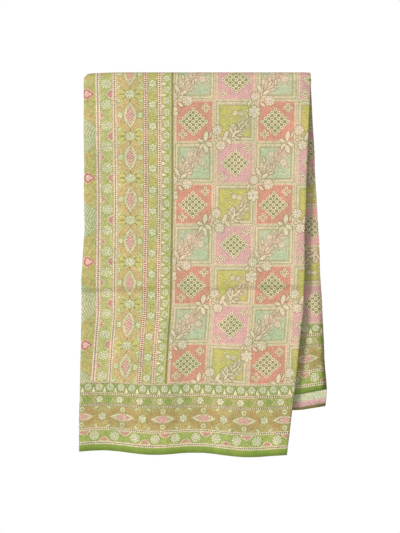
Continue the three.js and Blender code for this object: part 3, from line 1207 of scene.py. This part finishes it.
def framed_check(d, dyes, local, odd, to_edge):
    """A mint or olive check, with its frame, its twig of paired leaves and its small flowers."""
    along, across = d.turned(local, (0.0, 0.0), (1.0, 1.0), 45.0)
    across = d.plus(across, d.pick(odd, *TWIG_SHIFT))
    outline = d.dye(odd, dyes.rosewood, dyes.outline)
    ground = thicket(d, dyes, d.dye(odd, dyes.mint, dyes.olive), local, along, across, outline)
    in_mint = spray(d, dyes, ground, local, MINT_FLOWERS, MINT_LEAVES, dyes.rosewood)
    in_olive = spray(d, dyes, ground, local, OLIVE_FLOWERS, OLIVE_LEAVES, dyes.outline)
    ground = d.dye(odd, in_mint, in_olive)
    to_side = d.smaller(*to_edge)
    frame = d.stripes(to_side, 0.0, FRAME_WIDTH, named_stops(dyes, FRAME_LINES))
    return d.dye(d.between(to_side, FRAME_WIDTH + 0.2, FRAME_WIDTH - 0.2), ground, frame)


def checks_group(dyes, sizes):
    """The body: four kinds of check, and the flowering vine that runs up across them."""
    tree, start = new_group("checks", [("Place", "NodeSocketVector")], PATTERN_SOCKETS)
    d = Draft(tree)
    wide = millimetres(sizes.check_length)
    tall = millimetres(sizes.check_height)
    half = (wide / 2, tall / 2)
    place, odd, framed = check_at(d, start.outputs[0], sizes)
    local = d.repeat(place, wide, tall, half)
    to_edge = d.parts(d.vector("SUBTRACT", (*half, 0.0), d.vector("ABSOLUTE", local)))
    rings = ringed_check(d, dyes, local, odd, to_edge)
    flowers = framed_check(d, dyes, local, odd, to_edge)
    ground = d.dye(framed, rings, flowers)

    # The clusters of the vine lie over two kinds of corner
    vine = hearts = None
    corners = [((wide, 0.0), LILY_FLOWERS, LILY_LEAVES), ((0.0, tall), STAR_FLOWERS, STAR_LEAVES)]
    for corner, flowers, leaves in corners:
        near = d.repeat(place, 2 * wide, 2 * tall, corner)
        for flower in flowers:
            petals, heart = d.rosette(near, *flower)
            vine = petals if vine is None else d.smaller(vine, petals)
            hearts = heart if hearts is None else d.smaller(hearts, heart)
        for leaf in leaves:
            vine = d.smaller(vine, d.leaf(near, *leaf))
    ground = d.paint(ground, d.minus(vine, 1.3), dyes.outline, 0.85, 0.6)
    zari = d.inside(vine, 0.3)
    ground = d.dye(d.times(zari, 0.9), ground, dyes.cream)
    ground = d.paint(ground, hearts, dyes.heart, 1.0, 0.5)
    return close_group(tree, [ground, zari])


def band_edge(d, t, middle, half):
    """Distance outside a band."""
    return d.minus(d.absolute(d.minus(t, middle)), half)


def named_stops(dyes, stops):
    """Stops with the dyes that they name."""
    return [(at, getattr(dyes, name)) for at, name in stops]


# Where a plain ground starts, in millimetres from the body, before the first guard and after each guard
BORDER_START = [(-10.0, "khaki"), (0.0, "khaki"), (2.2, "shade"), (3.5, "border_daisies")]
PALLU_START = [(-10.0, "khaki"), (-3.4, "shade"), (-0.3, "pallu_narrow")]
BORDER_GROUNDS = ("border_narrow", "border_main", "border_rosettes", "selvedge")
PALLU_GROUNDS = ("pallu_narrow", "pallu_main", "pallu_narrow", "field")
BANDS_START, BANDS_END = -10.0, 120.0


def band_grounds(d, dyes, pallu, t):
    """Plain grounds of all bands."""
    laid = []
    for start, names in ((BORDER_START, BORDER_GROUNDS), (PALLU_START, PALLU_GROUNDS)):
        stops = start + [(high, name) for (_, high), name in zip(GUARDS, names)]
        laid.append(d.stripes(t, BANDS_START, BANDS_END, named_stops(dyes, stops)))
    return d.dye(pallu, *laid)


def guard_lines(d, dyes, ground, pallu, t, raw):
    """Four dotted guards. The two nearest the body have dark lines, and red dots in the pallu."""
    step = d.absolute(d.wrapped(raw, DOT_PITCH / 2, -DOT_PITCH / 2))
    cream = d.dye(pallu, dyes.border_guard, dyes.cream_guard)
    edge = d.dye(pallu, dyes.guard_khaki, dyes.guard_pink)
    red = d.dye(pallu, dyes.dots_dark, dyes.dots_red)
    for number, (low, high) in enumerate(GUARDS):
        half = (high - low) / 2
        off = d.absolute(d.minus(t, (low + high) / 2))
        if number < 2:
            ground = d.paint(ground, d.minus(off, half + 0.7), dyes.shade, 0.8, 0.2)
        ground = d.paint(ground, d.minus(off, half), edge, 1.0, 0.2)
        ground = d.paint(ground, d.minus(off, half * 0.75), cream, 1.0, 0.2)
        dot = d.minus(d.vector("LENGTH", d.join(step, off)), 1.05)
        ground = d.paint(ground, dot, red if number < 2 else dyes.dots_dark, 1.0, 0.25)
    return ground


def daisy_band(d, dyes, ground, pallu, t, raw):
    """The row of daisies beside the body, with a spike between each two."""
    outside = band_edge(d, t, 10.6, 7.1)
    phase = d.pick(pallu, DAISY_PHASE["border"], DAISY_PHASE["pallu"])
    along = d.wrapped(d.minus(raw, phase), DAISY_PITCH / 2, -DAISY_PITCH / 2)
    place = d.join(along, d.minus(t, DAISIES))
    petals, heart = d.rosette(place, (0.0, 0.0), 6.3, 8, 0.0)
    reach = d.vector("LENGTH", place)
    leaf = d.larger(d.minus(6.8, reach), band_edge(d, t, 5.6, 2.6))
    ground = d.paint(ground, leaf, dyes.leaf, 0.45, 0.5)
    spike = d.minus(DAISY_PITCH / 2, d.absolute(along))
    spike = d.minus(spike, d.scaled(t, 0.33, -2.6))
    ground = d.paint(ground, d.larger(d.minus(spike, 1.2), outside), dyes.cup, 0.6, 0.4)
    ground = d.paint(ground, d.larger(spike, outside), dyes.spike)
    ground = d.edged(ground, petals, (1.2, dyes.cup, 0.55, 0.5), dyes.daisy)
    ground = d.paint(ground, d.minus(heart, 0.8), dyes.shade, 0.5)
    return d.paint(ground, heart, dyes.heart), petals


def narrow_band(d, dyes, ground, pallu, t, a, period):
    """Small flowers with coloured patches between them, and pale lines that cross beside each flower."""
    at = d.minus(a, d.pick(pallu, -5.8, period / 4))
    along = d.wrapped(at, period / 4, -period / 4)
    onwards = d.wrapped(at, period / 2, 0.0)
    off = d.minus(t, NARROW)
    outside = band_edge(d, t, NARROW, 6.9)
    patch = d.leaf(d.join(onwards, off), (13.8, 0.0), 7.6, 5.4)
    ground = d.paint(ground, d.minus(patch, 0.8), dyes.shade, 0.5, 0.5)
    ground = d.paint(ground, patch, d.dye(pallu, dyes.leaf, dyes.amber), 0.55, 0.5)
    from_crossing = d.absolute(d.minus(onwards, 22.6))
    crossing = d.minus(d.absolute(off), d.times(from_crossing, 1.1))
    crossing = d.larger(d.absolute(crossing), d.minus(from_crossing, 5.6))
    crossing = d.larger(crossing, outside)
    ground = d.paint(ground, d.minus(crossing, 1.5), dyes.shade, 0.5, 0.5)
    ground = d.paint(ground, d.minus(crossing, 0.7), dyes.curl, 0.9)
    bars = d.disc(d.join(d.absolute(along), d.absolute(off)), (0.0, 6.8), (6.0, 1.3))
    ground = d.paint(ground, d.larger(bars, outside), dyes.leaf, 0.8)
    petals, heart = d.rosette(d.join(along, off), (0.0, 0.0), 6.0, 6, 0.0)
    ground = d.edged(ground, petals, (1.1, dyes.cup, 0.6, 0.5), dyes.petal)
    return d.paint(ground, d.minus(heart, 0.3), dyes.heart), petals


def main_band(d, dyes, ground, pallu, t, a, period):
    """Almonds with a jewel of dots, curved orange leaves round them, and a star between each two."""
    off = d.minus(t, MAIN)
    main = d.absolute(off)
    turn = d.absolute(d.wrapped(a, period / 2, -period / 2))
    corner = d.join(turn, main)
    outside = d.minus(main, 17.6)

    # Distance outside the almond, which the curved leaves follow
    half_width = d.pick(pallu, 6.6, 8.8)
    bow = d.scaled(d.times(turn, turn), 1 / ALMOND_REACH ** 2, -1.0)
    almond = d.scaled(bow, half_width, main)
    hug = d.absolute(d.minus(almond, 5.4))
    hug = d.larger(d.larger(hug, outside), d.minus(9.0, turn))
    ground = d.paint(ground, d.minus(hug, 4.1), dyes.shade, 0.45, 0.6)
    ground = d.paint(ground, d.minus(hug, 3.3), d.dye(pallu, dyes.border_orange, dyes.orange), 0.75, 1.0)
    vein = d.minus(d.absolute(d.minus(almond, 4.6)), 0.4)
    vein = d.larger(d.larger(vein, outside), d.minus(11.0, turn))
    ground = d.paint(ground, d.larger(vein, d.minus(turn, 26.0)), dyes.shade, 0.4, 0.4)
    outer = d.leaf(corner, (28.0, 12.8), 8.0, 3.6, 40.0)
    ground = d.paint(ground, d.larger(outer, outside), dyes.amber, d.pick(pallu, 0.15, 0.6), 0.8)

    # The star, and its rays in the pallu
    star_at = d.minus(d.wrapped(a, period, 0.0), period / 2)
    star_place = d.join(star_at, off)
    beside = period / 2
    rays = [d.leaf(corner, (beside - 8.4, 0.0), 5.0, 1.1)]
    rays.append(d.leaf(corner, (beside - 5.8, 7.0), 4.6, 1.1, -52.0))
    rays.append(d.leaf(corner, (beside, 10.4), 4.8, 1.3, 90.0))
    ground = d.paint(ground, d.nearest(rays), dyes.cup, d.times(pallu, 0.7), 0.4)
    eight, heart = d.rosette(star_place, (0.0, 0.0), 7.2, 8, 0.0)
    six, _ = d.rosette(star_place, (0.0, 0.0), 6.6, 6, 90.0)
    petals = d.pick(pallu, six, eight)
    ground = d.edged(ground, petals, (1.0, dyes.cup, 0.55, 0.5), dyes.mint_petal)
    ground = d.paint(ground, d.minus(heart, 0.4), dyes.heart, 0.8)

    # Rings or buds beside the almond, and small leaves by the guards
    ring = d.vector("LENGTH", d.vector("SUBTRACT", corner, (0.0, 12.6, 0.0)))
    ring = d.minus(d.absolute(d.minus(ring, 2.9)), 1.1)
    bud = d.disc(corner, (0.0, 13.4), (4.4, 3.4))
    tips = d.leaf(corner, (23.0, 15.2), 4.2, 2.0, 35.0)
    buds = d.larger(d.smaller(d.pick(pallu, ring, bud), tips), outside)
    ground = d.edged(ground, buds, (0.9, dyes.shade, 0.5, 0.5), dyes.mint_petal)

    # The almond with its beaded rim, and the jewel of dots in it
    ground = d.edged(ground, almond, (0.9, dyes.shade, 0.6, 0.5), dyes.almond)
    bead = d.wave(turn, BEAD_PITCH)
    rim = d.minus(d.absolute(d.plus(almond, 1.9)), d.scaled(bead, 0.5, 0.6))
    ground = d.paint(ground, rim, dyes.cream_guard, 0.55)
    gem = d.over(turn, d.pick(pallu, 11.0, 13.5))
    gem = d.plus(gem, d.over(main, d.pick(pallu, 5.6, 5.0)))
    gem = d.times(d.minus(gem, 1.0), 4.0)
    ground = d.edged(ground, gem, (0.9, dyes.ruby, 0.35, 0.5), dyes.gem, 1.0, 0.6)
    dots = d.dots(turn, main, JEWEL_PITCH)
    ground = d.paint(ground, d.larger(d.minus(0.35, dots), gem), dyes.ruby, 0.85)
    ground = d.paint(ground, d.larger(d.plus(dots, 0.5), gem), dyes.cream_guard, 0.9)
    return ground, d.smaller(petals, almond)


def rosette_band(d, dyes, ground, pallu, t, a, period):
    """Rosettes with dotted rims, and dotted domes that stand on both guards in turn."""
    outside = band_edge(d, t, (GUARDS[2][1] + GUARDS[3][0]) / 2, 8.9)
    at = d.minus(a, d.pick(pallu, 5.0, period / 2))
    along = d.minus(d.wrapped(at, period / 2, 0.0), period / 4)
    place = d.join(along, d.minus(t, ROSETTES))
    ground = d.paint(ground, d.larger(d.disc(place, (0.0, 0.0), (15.0, 4.0)), outside), dyes.leaf, 0.35, 1.5)
    petals, heart = d.rosette(place, (0.0, 0.0), 8.2, 10, 0.0)
    ground = d.paint(ground, d.minus(petals, 1.1), dyes.cup, d.pick(pallu, 0.55, 0.3), 0.5)
    ground = d.paint(ground, petals, dyes.petal)
    ground = d.paint(ground, d.minus(heart, 2.6), dyes.shade, 0.45)
    ground = d.paint(ground, d.minus(heart, 1.8), dyes.petal)
    ground = d.paint(ground, heart, dyes.heart)

    # Domes: wide ones below the main band, smaller ones half a repeat on
    wide_at = d.wrapped(at, period / 2, -period / 2)
    small_at = d.minus(d.wrapped(at, period, 0.0), period / 2)
    domes = []
    for along, edge, reach, depth in (
        (wide_at, GUARDS[2][1] - 0.5, (9.4, 7.8), (8.4, 9.6)),
        (small_at, GUARDS[3][0] + 0.5, (8.0, 5.8), (8.0, 6.2)),
    ):
        x = d.absolute(d.over(along, d.pick(pallu, *reach)))
        y = d.over(d.minus(t, edge), d.pick(pallu, *depth))
        point = d.scaled(y, y, x)
        domes.append(d.scaled(point, 6.0, -6.0))
    dome = d.larger(d.nearest(domes), outside)
    ground = d.paint(ground, d.minus(dome, 1.6), dyes.shade, 0.6, 0.5)
    ground = d.paint(ground, d.minus(dome, 0.8), dyes.cream_guard, 0.9)
    ground = d.paint(ground, d.plus(dome, 0.4), dyes.dome)
    dots = d.dots(at, t, JEWEL_PITCH)
    ground = d.paint(ground, d.larger(d.minus(0.3, dots), d.plus(dome, 1.0)), dyes.ruby, 0.85)
    return ground, petals


def pallu_field(d, dyes, ground, pallu, t, a, period):
    """The pallu's field beyond its bands: blotches, nested arcs, and pink buds that point to the body."""
    depth = d.minus(t, BAND_EDGES[-1])
    inside = d.times(pallu, d.math("GREATER_THAN", depth, 0.0))
    outside = d.scaled(inside, -100.0, 50.0)
    at = d.minus(d.wrapped(d.minus(a, period / 2), 2 * period, 0.0), period)
    at = d.absolute(at)
    place = d.join(at, depth)
    for shift, colour in ((0.0, dyes.amber), (70.0, dyes.leaf), (140.0, dyes.border_orange)):
        blotch = d.noise(d.vector("ADD", place, (shift, shift, 0.0)), 8.0, 1.0)
        blotch = d.scaled(blotch, -20.0, 0.8)
        ground = d.paint(ground, d.larger(blotch, outside), colour, 0.5, 1.0)
    arcs = d.plus(depth, d.times(d.math("POWER", at, 1.4), 0.16))
    stripe = d.wave(arcs, ARC_PITCH, "SINE")
    window = d.minus(d.plus(at, d.times(depth, -0.75)), 15.0)
    window = d.larger(window, outside)
    ground = d.edged(ground, window, (1.0, dyes.cup, 0.5, 0.6), dyes.arc_ground, 0.65, 0.6)
    ground = d.paint(ground, d.larger(window, d.minus(0.4, stripe)), dyes.arc_line, 0.8)
    ground = d.paint(ground, d.larger(window, d.plus(0.8, stripe)), dyes.shade, 0.35)
    bud_at = d.minus(period, at)
    wedge = d.minus(bud_at, d.times(d.minus(depth, 3.0), 0.62))
    bud_end = d.vector("LENGTH", d.join(bud_at, d.minus(depth, 11.0)))
    wedge = d.larger(wedge, d.minus(bud_end, 7.2))
    ground = d.paint(ground, d.larger(d.minus(wedge, 2.8), outside), dyes.blush, 0.8, 0.5)
    ground = d.paint(ground, d.larger(d.minus(wedge, 1.2), outside), dyes.ruby)
    ground = d.paint(ground, d.larger(d.plus(wedge, 0.6), outside), dyes.gem)
    flecks = d.noise(place, 1.6, 0.0)
    flecks = d.larger(d.plus(wedge, 1.4), d.scaled(flecks, -10.0, 0.9))
    return d.paint(ground, d.larger(flecks, outside), dyes.cream_guard, 0.9)


def bands_group(dyes, sizes, width):
    """The bands of the border and, a little larger, of the pallu, with the pallu's field."""
    tree, start = new_group("bands", [("Place", "NodeSocketVector")], PATTERN_SOCKETS)
    d = Draft(tree)
    border = millimetres(sizes.border)
    period = millimetres(sizes.end_repeat)
    u, v = d.parts(start.outputs[0])
    from_selvedge = to_selvedge(d, v, width)
    pallu = d.math("GREATER_THAN", from_selvedge, border)
    from_body = d.times(u, -1.0)
    # Distance across the bands, the pallu's brought to the border's scale
    across = d.plus(d.smaller(from_body, PALLU_EDGES[0]), BAND_EDGES[0] - PALLU_EDGES[0])
    pairs = list(zip(PALLU_EDGES, BAND_EDGES))
    for (low, t_low), (high, t_high) in zip(pairs, pairs[1:]):
        across = d.scaled(d.between(from_body, low, high), t_high - t_low, across)
    across = d.plus(across, d.larger(d.minus(from_body, PALLU_EDGES[-1]), 0.0))
    t = d.pick(pallu, d.minus(border, from_selvedge), across)
    raw = d.pick(pallu, u, v)
    along_pallu = d.over(d.minus(v, PALLU_PHASE), sizes.end_scale)
    a = d.pick(pallu, d.minus(u, BORDER_PHASE), along_pallu)

    ground = band_grounds(d, dyes, pallu, t)
    ground, raised = daisy_band(d, dyes, ground, pallu, t, raw)
    for band in (narrow_band, rosette_band, main_band):
        ground, shape = band(d, dyes, ground, pallu, t, a, period)
        raised = d.smaller(raised, shape)
    ground = pallu_field(d, dyes, ground, pallu, t, a, period)
    ground = guard_lines(d, dyes, ground, pallu, t, raw)
    return close_group(tree, [ground, d.inside(raised, 0.3)])


# How far the flecks, the slow shading and the threads change the light of a colour, and the thread pitches
FLECKS_IN_CHECKS = 0.85
FLECKS_IN_BANDS = 1.2
SLOW_SHARE = 0.26
MOTTLE_SHARE = 0.30
THREAD_SHARE = 0.06
WEFT_PITCH = 0.9
WARP_PITCH = 1.1
SHOT_COOL = (0.96, 1.02, 0.98)
SHOT_WARM = (1.04, 0.98, 1.0)
# Sizes of the flecks, of the mottling and of the slow shading, in millimetres
FLECK_SIZE = 2.3
MOTTLE_SIZE = 8.0
SLOW_SIZE = 34.0
SLOW_STRETCH = (1.0, 0.6, 1.0)
# Share of flecks and of weft threads in the bump, its strength and its height in metres
FLECK_BUMP = 0.6
WEFT_BUMP = 0.15
BUMP_STRENGTH = 0.55
BUMP_HEIGHT = 0.00022
# Roughness of the silk, what a fleck adds, and what the zari adds
ROUGHNESS = 0.52
FLECK_ROUGHNESS = 0.25
ZARI_ROUGHNESS = -0.10
SHEEN = 0.03
SHEEN_ROUGHNESS = 0.4


def finish_silk(d, shader, tree, place, colour, zari, fleck_share):
    """Threads, flecks and slow shading over a dyed pattern, and the bump and gloss that go with them."""
    fleck = d.noise(place, FLECK_SIZE, 1.0)
    mottle = d.noise(place, MOTTLE_SIZE, 1.0)
    slow = d.noise(d.vector("MULTIPLY", place, SLOW_STRETCH), SLOW_SIZE, 1.0)
    u, v = d.parts(place)
    weft = d.wave(v, WEFT_PITCH, "SINE")
    warp = d.wave(u, WARP_PITCH, "SINE")
    light = d.scaled(d.times(fleck, fleck_share), 1.0, 1.0)
    light = d.scaled(slow, SLOW_SHARE, light)
    light = d.scaled(mottle, MOTTLE_SHARE, light)
    light = d.scaled(d.times(weft, warp), THREAD_SHARE, light)
    shot = d.between(slow, -0.2, 0.2)
    warm = d.dye(shot, SHOT_COOL, SHOT_WARM)
    shade = d.node("ShaderNodeVectorMath", {0: warm, 3: light}, operation="SCALE")
    tree.links.new(d.vector("MULTIPLY", colour, shade), shader.inputs["Base Color"])
    height = d.scaled(fleck, FLECK_BUMP, d.times(weft, WEFT_BUMP))
    bump = d.node("ShaderNodeBump", {"Strength": BUMP_STRENGTH, "Distance": BUMP_HEIGHT, "Height": height})
    tree.links.new(bump, shader.inputs["Normal"])
    gloss = d.scaled(zari, ZARI_ROUGHNESS, d.scaled(fleck, FLECK_ROUGHNESS, ROUGHNESS))
    tree.links.new(gloss, shader.inputs["Roughness"])
    shader.inputs["Sheen Weight"].default_value = SHEEN
    shader.inputs["Sheen Roughness"].default_value = SHEEN_ROUGHNESS


def to_selvedge(d, v, width):
    """Distance from the nearer selvedge."""
    return d.smaller(v, d.minus(width, v))


def check_at(d, place, sizes):
    """Place counted from the first row of checks, and the column and the row of its check."""
    size = (millimetres(sizes.check_length), millimetres(sizes.check_height), 1.0)
    moved = d.vector("SUBTRACT", place, (0.0, millimetres(sizes.border), 0.0))
    column, row = d.parts(d.vector("FLOOR", d.vector("DIVIDE", moved, size)))
    odd = d.math("FLOORED_MODULO", column, 2.0)
    return moved, odd, d.math("FLOORED_MODULO", d.plus(column, row), 2.0)


def new_silk(name):
    """A material with its shader and its place on the flat cloth in millimetres."""
    material = bpy.data.materials.new(name)
    material.use_nodes = True
    tree = material.node_tree
    d = Draft(tree)
    flat = tree.nodes.new("ShaderNodeUVMap")
    flat.uv_map = "weave"
    place = d.vector("MULTIPLY", flat.outputs[0], (1 / MM, 1 / MM, 0.0))
    return material, tree, d, place


def brocade(dyes, sizes, width):
    """The right side of the silk."""
    material, tree, d, place = new_silk("brocade")
    shader = tree.nodes["Principled BSDF"]
    u, v = d.parts(place)
    from_selvedge = to_selvedge(d, v, width)
    in_border = d.math("LESS_THAN", from_selvedge, millimetres(sizes.border))
    banded = d.larger(in_border, d.math("LESS_THAN", u, 0.0))
    groups = []
    for group in (checks_group(dyes, sizes), bands_group(dyes, sizes, width)):
        node = tree.nodes.new("ShaderNodeGroup")
        node.node_tree = group
        tree.links.new(place, node.inputs[0])
        groups.append(node)
    colour = d.dye(banded, groups[0].outputs[0], groups[1].outputs[0])
    zari = d.pick(banded, groups[0].outputs[1], groups[1].outputs[1])
    flecks = d.pick(banded, FLECKS_IN_CHECKS, FLECKS_IN_BANDS)
    plain_edge = d.math("LESS_THAN", from_selvedge, millimetres(sizes.border) - BAND_EDGES[-1])
    finish_silk(d, shader, tree, place, colour, zari, d.pick(plain_edge, flecks, 0.3))
    return material


# Pitch of the floats on the wrong side, and bands of its edge in millimetres from the selvedge
FLOAT_PITCH = 1.5
EDGE_BANDS = [
    (0.0, "reverse_edge"), (5.6, "pink"), (14.0, "float_mint"), (40.0, "khaki"), (60.0, "float_mint"),
    (98.0, "guard_pink"), (101.0, "float_mint"),
]


def reverse(dyes, sizes, width):
    """The wrong side: paler checks behind loose floats of thread, and the plain edges."""
    material, tree, d, place = new_silk("reverse")
    shader = tree.nodes["Principled BSDF"]
    u, v = d.parts(place)
    border = millimetres(sizes.border)
    from_selvedge = to_selvedge(d, v, width)
    _, odd, framed = check_at(d, place, sizes)
    check = d.dye(framed, d.dye(odd, dyes.coral, dyes.pink), d.dye(odd, dyes.mint, dyes.olive))
    check = d.dye(0.45, check, dyes.float_pale)
    edge = d.stripes(from_selvedge, 0.0, BANDS_END, named_stops(dyes, EDGE_BANDS))
    banded = d.larger(d.math("LESS_THAN", from_selvedge, border), d.math("LESS_THAN", u, 0.0))
    colour = d.dye(banded, check, edge)
    stray = d.times(u, 2 * math.pi / FLOAT_PITCH)
    ragged = d.plus(stray, d.times(d.noise(place, 9.0, 0.0), 9.0))
    floats = d.between(d.math("SINE", ragged), 0.0, 0.8)
    broken = d.between(d.noise(d.vector("MULTIPLY", place, (1.0, 0.12, 1.0)), 1.4, 0.0), -0.08, 0.05)
    floats = d.times(floats, d.times(broken, d.math("GREATER_THAN", from_selvedge, 5.6)))
    colour = d.dye(d.times(floats, 0.5), colour, dyes.float_white)
    finish_silk(d, shader, tree, place, colour, floats, FLECKS_IN_CHECKS)
    return material


# The floor and the camera: sensor in millimetres, and the farthest distance that it sees
FLOOR_COLOUR = (0.9, 0.9, 0.9)
FLOOR_ROUGHNESS = 0.6
FLOOR_CORNERS = 96
SENSOR = 36
FARTHEST = 60


def deselect_all():
    for other in bpy.context.selected_objects:
        other.select_set(False)


class SARI_OT_drape(bpy.types.Operator):
    """Fold the sari and hang it over the rail"""

    bl_idname = "sari.drape"
    bl_label = "Drape the sari"

    def execute(self, context):
        sizes = context.scene.sari_drape
        draft = context.scene.sari_draft
        dyes = context.scene.sari_dyes
        mesh, sheet = build_cloth(sizes, draft)
        cloth = bpy.data.objects.new("sari_silk", mesh)
        context.scene.collection.objects.link(cloth)
        width = millimetres(sizes.cloth_width)
        mesh.materials.append(brocade(dyes, draft, width))
        mesh.materials.append(reverse(dyes, draft, width))
        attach(cloth, "root")
        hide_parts("sari")
        return {"FINISHED"}


def plain(name, colour):
    material = bpy.data.materials.new(name)
    material.use_nodes = True
    shader = material.node_tree.nodes["Principled BSDF"]
    shader.inputs["Base Color"].default_value = (*colour, 1)
    shader.inputs["Roughness"].default_value = FLOOR_ROUGHNESS
    return material


class SARI_OT_stage(bpy.types.Operator):
    """Set the camera, the floor and the lights"""

    bl_idname = "sari.stage"
    bl_label = "Set the stage"

    def execute(self, context):
        stage = context.scene.sari_stage
        deselect_all()
        low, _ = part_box("sari")
        face_y = low.y
        bpy.ops.mesh.primitive_circle_add(
            vertices=FLOOR_CORNERS, radius=stage.floor_radius, fill_type="NGON",
            location=(0, 0, low.z - stage.floor_below),
        )
        floor = context.object
        floor.name = "floor"
        floor.data.materials.append(plain("floor", FLOOR_COLOUR))
        bpy.ops.object.camera_add(
            location=(stage.view_centre_x, face_y - stage.camera_distance, stage.view_centre_z),
            rotation=(math.pi / 2, 0, 0),
        )
        camera = context.object
        camera.data.sensor_width = SENSOR
        camera.data.lens = SENSOR * stage.camera_distance / stage.view_height
        camera.data.clip_end = FARTHEST
        context.scene.camera = camera
        self.add_sun(stage.key_side, stage.key_height, stage.key_spread, stage.key_strength)
        self.add_sun(0.0, 0.0, stage.front_spread, stage.front_strength)
        self.light_room(context, stage.fill_strength)
        context.scene.view_settings.view_transform = "Standard"
        return {"FINISHED"}

    def add_sun(self, side, height, spread, strength):
        """A soft sun turned to the left by side and standing at a height above the level."""
        bpy.ops.object.light_add(type="SUN", location=(0, 0, 0), rotation=(0, 0, 0))
        sun = bpy.context.object
        sun.data.angle = spread
        sun.data.energy = strength
        level = math.cos(height)
        towards = Vector((-level * math.sin(side), -level * math.cos(side), math.sin(height)))
        sun.rotation_euler = towards.to_track_quat("Z", "Y").to_euler()

    def light_room(self, context, fill):
        """A white room that the camera sees bright, and that lights the cloth softly from all round."""
        world = context.scene.world or bpy.data.worlds.new("World")
        context.scene.world = world
        world.use_nodes = True
        tree = world.node_tree
        seen = tree.nodes["Background"]
        seen.inputs["Color"].default_value = (1, 1, 1, 1)
        seen.inputs["Strength"].default_value = 1.0
        soft = tree.nodes.new("ShaderNodeBackground")
        soft.inputs["Color"].default_value = (1, 1, 1, 1)
        soft.inputs["Strength"].default_value = fill
        ray = tree.nodes.new("ShaderNodeLightPath")
        either = tree.nodes.new("ShaderNodeMixShader")
        tree.links.new(ray.outputs["Is Camera Ray"], either.inputs[0])
        tree.links.new(soft.outputs[0], either.inputs[1])
        tree.links.new(seen.outputs[0], either.inputs[2])
        tree.links.new(either.outputs[0], tree.nodes["World Output"].inputs["Surface"])


class SARI_PT_panel(bpy.types.Panel):
    """The sari's two steps, in the sidebar of the 3D view"""

    bl_label = "Sari"
    bl_idname = "SARI_PT_panel"
    bl_space_type = "VIEW_3D"
    bl_region_type = "UI"
    bl_category = "Sari"

    def draw(self, context):
        layout = self.layout
        layout.operator(SARI_OT_drape.bl_idname)
        layout.operator(SARI_OT_stage.bl_idname)


CLASSES = [
    SariDrapeSizes, SariDraftSizes, SariDyes, SariStageSizes, SARI_OT_drape, SARI_OT_stage, SARI_PT_panel,
]


def register():
    for cls in CLASSES:
        bpy.utils.register_class(cls)
    bpy.types.Scene.sari_drape = PointerProperty(type=SariDrapeSizes)
    bpy.types.Scene.sari_draft = PointerProperty(type=SariDraftSizes)
    bpy.types.Scene.sari_dyes = PointerProperty(type=SariDyes)
    bpy.types.Scene.sari_stage = PointerProperty(type=SariStageSizes)


def unregister():
    del bpy.types.Scene.sari_stage
    del bpy.types.Scene.sari_dyes
    del bpy.types.Scene.sari_draft
    del bpy.types.Scene.sari_drape
    for cls in reversed(CLASSES):
        bpy.utils.unregister_class(cls)


def main():
    register()
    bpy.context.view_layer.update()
    bpy.ops.sari.drape()
    bpy.ops.sari.stage()
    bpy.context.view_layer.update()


if __name__ == "__main__":
    main()
